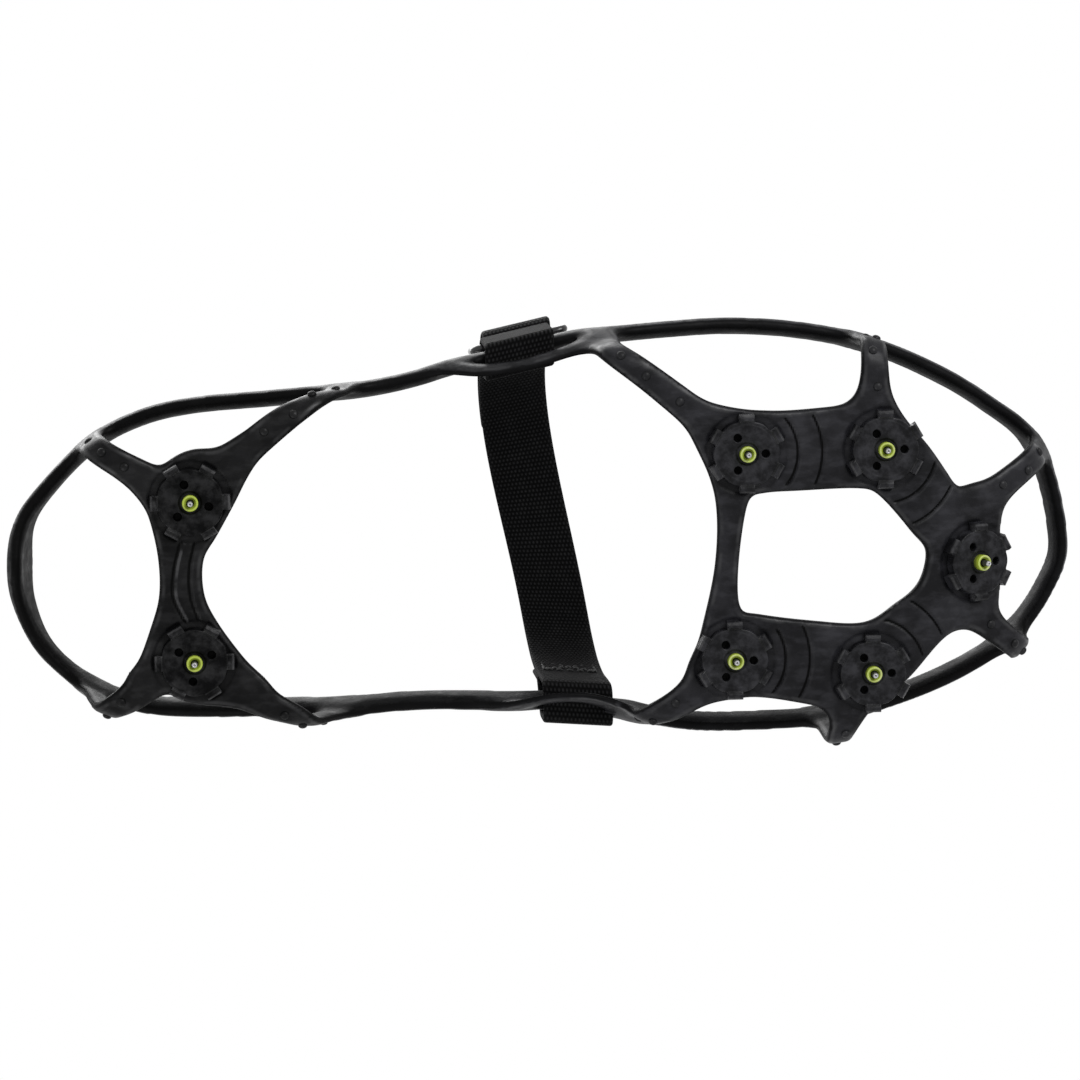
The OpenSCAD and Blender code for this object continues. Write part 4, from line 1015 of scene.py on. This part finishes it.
# Colours of the painted shade in the gaps and of the painted highlight on the float tops.
webbing = nylon_webbing("black_webbing", 1.15, (0.0009, 0.0009, 0.001), (0.024, 0.024, 0.025), 1.3)
anchor.data.materials.append(webbing)
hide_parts("strap_anchor")
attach(anchor, "harness_front")


# Strap ring
# A glossy moulded plastic loop with a round bar. The anchor holds it below and the strap runs through it above.

# Half length of the long bars, radius of the corners and of the bar
RING_HALF, RING_CORNER, RING_BAR_R = 13.1, 1.5, 1.3


def ring_surface():
    """Ring: a circle carried round a rectangle with round corners that stands in the plane of its two long bars."""
    high = np.linalg.norm(RING_TOP - PIVOT)
    lean = (RING_TOP - PIVOT) / high
    x, z = RING_HALF - RING_CORNER, high - RING_CORNER
    corners = ((x, RING_CORNER, -90), (x, z, 0), (-x, z, 90), (-x, RING_CORNER, 180))
    path = np.vstack([arc(np.array([cx, cz]), RING_CORNER, a, a + 90, 9) for cx, cz, a in corners])
    path = spaced(path, 0.8, True)[0]
    out = -outward(path)
    a = np.linspace(0, 2 * np.pi, 25)[:-1]
    level = path[:, None] + RING_BAR_R * np.cos(a)[None, :, None] * out[:, None]
    off = RING_BAR_R * np.sin(a)[None] * np.ones((len(path), 1))
    y = PIVOT[0] + lean[0] * level[..., 1] + lean[1] * off
    z = PIVOT[1] + lean[1] * level[..., 1] - lean[0] * off
    return np.stack([STRAP_X + level[..., 0] * np.cos(TURN_O), y + level[..., 0] * np.sin(TURN_O), z], 2)


spot = ring_surface()
ring = mesh_object("ring_loop", spot, tube_faces(spot, closed=True))
w, at = material_tree("gloss_plastic")
scratch = w.noise(w.node("Mapping", {}, {0: at, 3: (0.3, 3.0, 3.0)}), 900.0, 3.0).step(0.55, 0.75)
cloud = w.noise(at, 160.0, 3.0)
ring.data.materials.append(finish_of(
    "gloss_plastic", cloud.tint((0.004, 0.004, 0.0045), (0.010, 0.010, 0.011)), 0.16 + cloud * 0.12 + scratch * 0.2,
    scratch + cloud * 0.5, (0.12, 0.0002), {"Specular IOR Level": 0.5}))
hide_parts("strap_ring")
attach(ring, "ring")


# Instep strap
# One length of nylon webbing from the ring over the instep and round the inner side bar, where it is folded
# back on itself and sewn with a box of stitches.

# Legs inside and outside the inner bar, level below it, corners there, and stand-off of the end that is sewn back
IN_Y, OUT_Y, LOW_Z, LEG_CORNER, SEWN_OFF = 43.242, 54.362, 28.202, 2.0, 1.9
# Turn round the ring's upper bar, and end of the fold from it
TURN_R, FOLD_END = 3.7, (-3.7, 4.0)
arch = path_through(np.array([
    (-49.606, 57.978), (-46.106, 70.261), (-37.606, 82.917), (-23.0, 91.7), (-4.0, 95.2), (15.0, 92.2),
    (32.275, 83.475), (40.275, 70.075), (IN_Y, 53.978), (IN_Y, 40.078),
]), 8)
strap_path = np.vstack([
    RING_TOP + FOLD_END, arc(RING_TOP, TURN_R, 180, 340, 14), arch,
    (IN_Y, LOW_Z + LEG_CORNER), (IN_Y + 0.6, LOW_Z + 0.6), (IN_Y + LEG_CORNER, LOW_Z),
    (OUT_Y - LEG_CORNER, LOW_Z), (OUT_Y - 0.6, LOW_Z + 0.6), (OUT_Y, LOW_Z + LEG_CORNER),
    (OUT_Y, 40.078), (IN_Y + SEWN_OFF, 48.078), (IN_Y + SEWN_OFF, 62.078),
])
strap_path = eased(spaced(strap_path, PATH_STEP)[0], 4)
strap = ribbon("instep_webbing", strap_path, 0.0, STRAP_W, STRAP_T)
strap.data.materials.append(webbing)
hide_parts("instep_strap")
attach(strap, "harness_front")


def stitches(name, starts, ends, out):
    """Stitches: each a bowed thread from start to end, a six-sided tube whose middle stands out of the cloth and
    whose ends sink in."""
    thread_r, rise, sink = 0.34, 0.42, 0.12
    t = np.linspace(0, 1, 7)[None, :, None]
    line = starts[:, None] * (1 - t) + ends[:, None] * t + out[:, None] * (np.sin(t * np.pi) * rise - sink)
    side = np.cross(out, unit(ends - starts))[:, None, None]
    a = np.linspace(0, 2 * np.pi, 7)[:-1, None]
    spot = line[:, :, None] + thread_r * (np.cos(a) * side + np.sin(a) * out[:, None, None])
    return mesh_object(name, spot, tube_faces(spot))


def stitch_rows(rows, pitch, length):
    """Stitch ends along straight rows in a flat plane: every pitch a stitch of the length."""
    starts, ends = [], []
    for a, b in rows:
        a, b = np.array(a, float), np.array(b, float)
        count = max(1, int(np.linalg.norm(b - a) / pitch))
        at = (np.arange(count) + 0.5)[:, None] / count
        step = unit(b - a) * length / 2
        starts.append(a + (b - a) * at - step)
        ends.append(a + (b - a) * at + step)
    return np.vstack(starts), np.vstack(ends)


def box_rows(half, low, high):
    """Rows of a sewn box with a cross in it."""
    return [((-half, low), (half, low)), ((half, low), (half, high)), ((half, high), (-half, high)),
            ((-half, high), (-half, low)), ((-half, low), (half, high)), ((half, low), (-half, high))]


w, at = material_tree("strap_thread")
ply = w.node("TexWave", {"wave_type": "BANDS", "bands_direction": "DIAGONAL"}, {0: at, 1: 900.0, 2: 2.0})
strap_thread = finish_of("strap_thread", ply.tint((0.006, 0.006, 0.006), (0.03, 0.03, 0.031)), 0.5 + ply * 0.1, ply,
                         (0.5, 0.0002), {"Specular IOR Level": 0.35})
STITCH_PITCH, STITCH_LENGTH = 2.6, 1.9
first, last = stitch_rows(box_rows(7.5, 49.5, 60.5), STITCH_PITCH, STITCH_LENGTH)
for name, face_y, sign in (
        ("box_stitch_outside", IN_Y + SEWN_OFF + half_t, 1.0), ("box_stitch_inside", IN_Y - half_t, -1.0)):
    a, b = (np.stack([*skewed(np.full(len(p), face_y), p[:, 0]), p[:, 1]], 1) for p in (first, last))
    sewn = stitches(name, a, b, np.tile([0.0, sign, 0.0], (len(a), 1)))
    sewn.data.materials.append(strap_thread)
    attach(sewn, "harness_front")


# Loop patch
# Soft loop pile sewn to the top of the strap, which the hooks of the closing tab press into.

def offset_path(path, off):
    """Path moved to its left by off."""
    return path + left_of(unit(np.gradient(path, axis=0))) * off


def stretch(path, start, length):
    """Part of a path that starts at a point's number and has a length."""
    part, run = spaced(path[start:], 0.5)
    return part[run <= length]


PATCH_W, PATCH_T = 19.0, 1.0
PILE_OFF, PILE_LENGTH = 1.3, 54
pile = ribbon(
    "loop_pile_patch", stretch(offset_path(arch, PILE_OFF), 4, PILE_LENGTH), 0.0, PATCH_W, PATCH_T, ends=(1.0, 1.0))
w, at = material_tree("soft_pile")
tuft = w.node("TexVoronoi", {"feature": "SMOOTH_F1"}, {"Vector": at, "Scale": 1500.0, "Smoothness": 0.4})
fuzz = w.noise(at, 2600.0, 3.0)
nap = w.noise(at, 120.0, 3.0).step(0.3, 0.7)
pile.data.materials.append(finish_of(
    "soft_pile", (tuft * 0.7 + fuzz * 0.4 + nap * 0.2).tint((0.004, 0.004, 0.0042), (0.028, 0.028, 0.029)),
    0.85 + fuzz * 0.1, tuft + fuzz * 0.6, (0.8, 0.0005), {"Sheen Weight": 0.12, "Specular IOR Level": 0.15}))
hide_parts("loop_patch")
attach(pile, "harness_front")


# Closing tab
# The free end of the strap, turned up over the ring. Its hook patch is sewn inside, and the round end is the grip.

# The tab lies over its hooks and these over the pile: offsets from the strap, lengths, and round of the grip
TAB_OFF, TAB_LENGTH, GRIP_ROUND = 3.9, 42.0, 5.0
HOOK_OFF, HOOK_LENGTH = 2.6, 34
tab_path = np.vstack([
    RING_TOP + FOLD_END, RING_TOP + (-3.3, 5.4), (-56.406, 64.978),
    stretch(offset_path(arch, TAB_OFF), 6, TAB_LENGTH)])
tab_path = eased(spaced(tab_path, PATH_STEP)[0], 5)
tab = ribbon("tab_webbing", tab_path, 0.0, STRAP_W, STRAP_T, ends=(0.0, GRIP_ROUND), root=half_t)
tab.data.materials.append(webbing)
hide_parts("strap_tab")
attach(tab, "closing_tab")
hooks = ribbon(
    "hook_pad", stretch(offset_path(arch, HOOK_OFF), 6, HOOK_LENGTH), 0.0, PATCH_W, PATCH_T, ends=(0.6, 0.6))
w, at = material_tree("hook_nylon")
across = w.stored("across")
along_it = w.stored("along")
peg_turn = 5.2
peg = w.maths("SINE", across * peg_turn) * w.maths("SINE", along_it * peg_turn) * 0.5 + 0.5
speck = w.noise(at, 1200.0, 3.0)
hooks.data.materials.append(finish_of(
    "hook_nylon", (peg * 0.8 + speck * 0.3).tint((0.003, 0.003, 0.0033), (0.022, 0.022, 0.024)), 0.35 + speck * 0.2,
    peg + speck * 0.2, (0.9, 0.0006), {"Specular IOR Level": 0.4}))
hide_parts("hook_patch")
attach(hooks, "closing_tab")


# Floor, light and camera
# A pale floor that the studs stand on, open to view from below, with soft lamps below it and above it.

w, at = material_tree("pale_floor")
pale = w.noise(at, 3.0).tint((0.86, 0.86, 0.86), (0.9, 0.9, 0.9))
paint = w.node("BsdfDiffuse", {}, {"Color": pale})
shown = w.node("MixShader", {}, {0: w.node("NewGeometry", out=6), 1: paint, 2: w.node("BsdfTransparent")})
w.tree.links.new(shown.socket, w.tree.nodes["Material Output"].inputs["Surface"])
FLOOR_HALF = 900.0
floor = mesh_object(
    "floor", FLOOR_HALF * np.array([(-1, -1, 0), (1, -1, 0), (1, 1, 0), (-1, 1, 0)]), np.array([[0, 1, 2, 3]]))
floor.data.materials.append(bpy.data.materials["pale_floor"])
floor.visible_shadow = False
floor.visible_diffuse = False
floor.visible_glossy = False

world = bpy.data.worlds.new("studio")
bpy.context.scene.world = world
world.use_nodes = True
w = Wire(world.node_tree)
seen = w.node("LightPath")
bright = w.maths("MAXIMUM", seen, w.node("LightPath", out=6))
bright = w.maths("MAXIMUM", bright, w.node("LightPath", out=3))
LIT = 0.35
strength = LIT + bright * (1 - LIT)
w.tree.links.new(strength.socket, world.node_tree.nodes["Background"].inputs["Strength"])
world.node_tree.nodes["Background"].inputs["Color"].default_value = (1, 1, 1, 1)


def soft_lamp(name, at, aim, size, watts):
    """Square area lamp at a place, turned towards an aim: its back is the line from the aim to the place."""
    lamp = bpy.data.lights.new(name, "AREA")
    lamp.size, lamp.energy = size, watts
    made = bpy.data.objects.new(name, lamp)
    bpy.context.scene.collection.objects.link(made)
    z = unit(np.array(at, float) - np.array(aim, float))
    x = unit(np.cross((0.1, 1.0, 0.2), z))
    turn = np.eye(4)
    turn[:3, :3] = np.stack([x, np.cross(z, x), z], 1)
    turn[:3, 3] = at
    made.matrix_world = Matrix(turn.tolist())


soft_lamp("key_under", (0.45, -0.65, -0.65), (0, 0, 0), 0.5, 6)
soft_lamp("fill_under", (-0.6, 0.6, -0.6), (0, 0, 0), 0.7, 2.5)
soft_lamp("top", (-0.3, -0.5, 1.0), (0, 0, 0.03), 0.9, 10)

view = bpy.data.cameras.new("camera")
view.sensor_fit, view.sensor_width, view.lens = "HORIZONTAL", 36.0, 132.0
view.clip_start, view.clip_end = 0.01, 50.0
camera = bpy.data.objects.new("camera", view)
bpy.context.scene.collection.objects.link(camera)
camera.matrix_world = Matrix((
    (0.99586, 0.02782, -0.08651, -0.09916),
    (0.01717, -0.99245, -0.12141, -0.13475),
    (-0.08924, 0.11942, -0.98882, -1.08101),
    (0, 0, 0, 1),
))
bpy.context.scene.camera = camera
bpy.context.scene.view_settings.view_transform = "Standard"
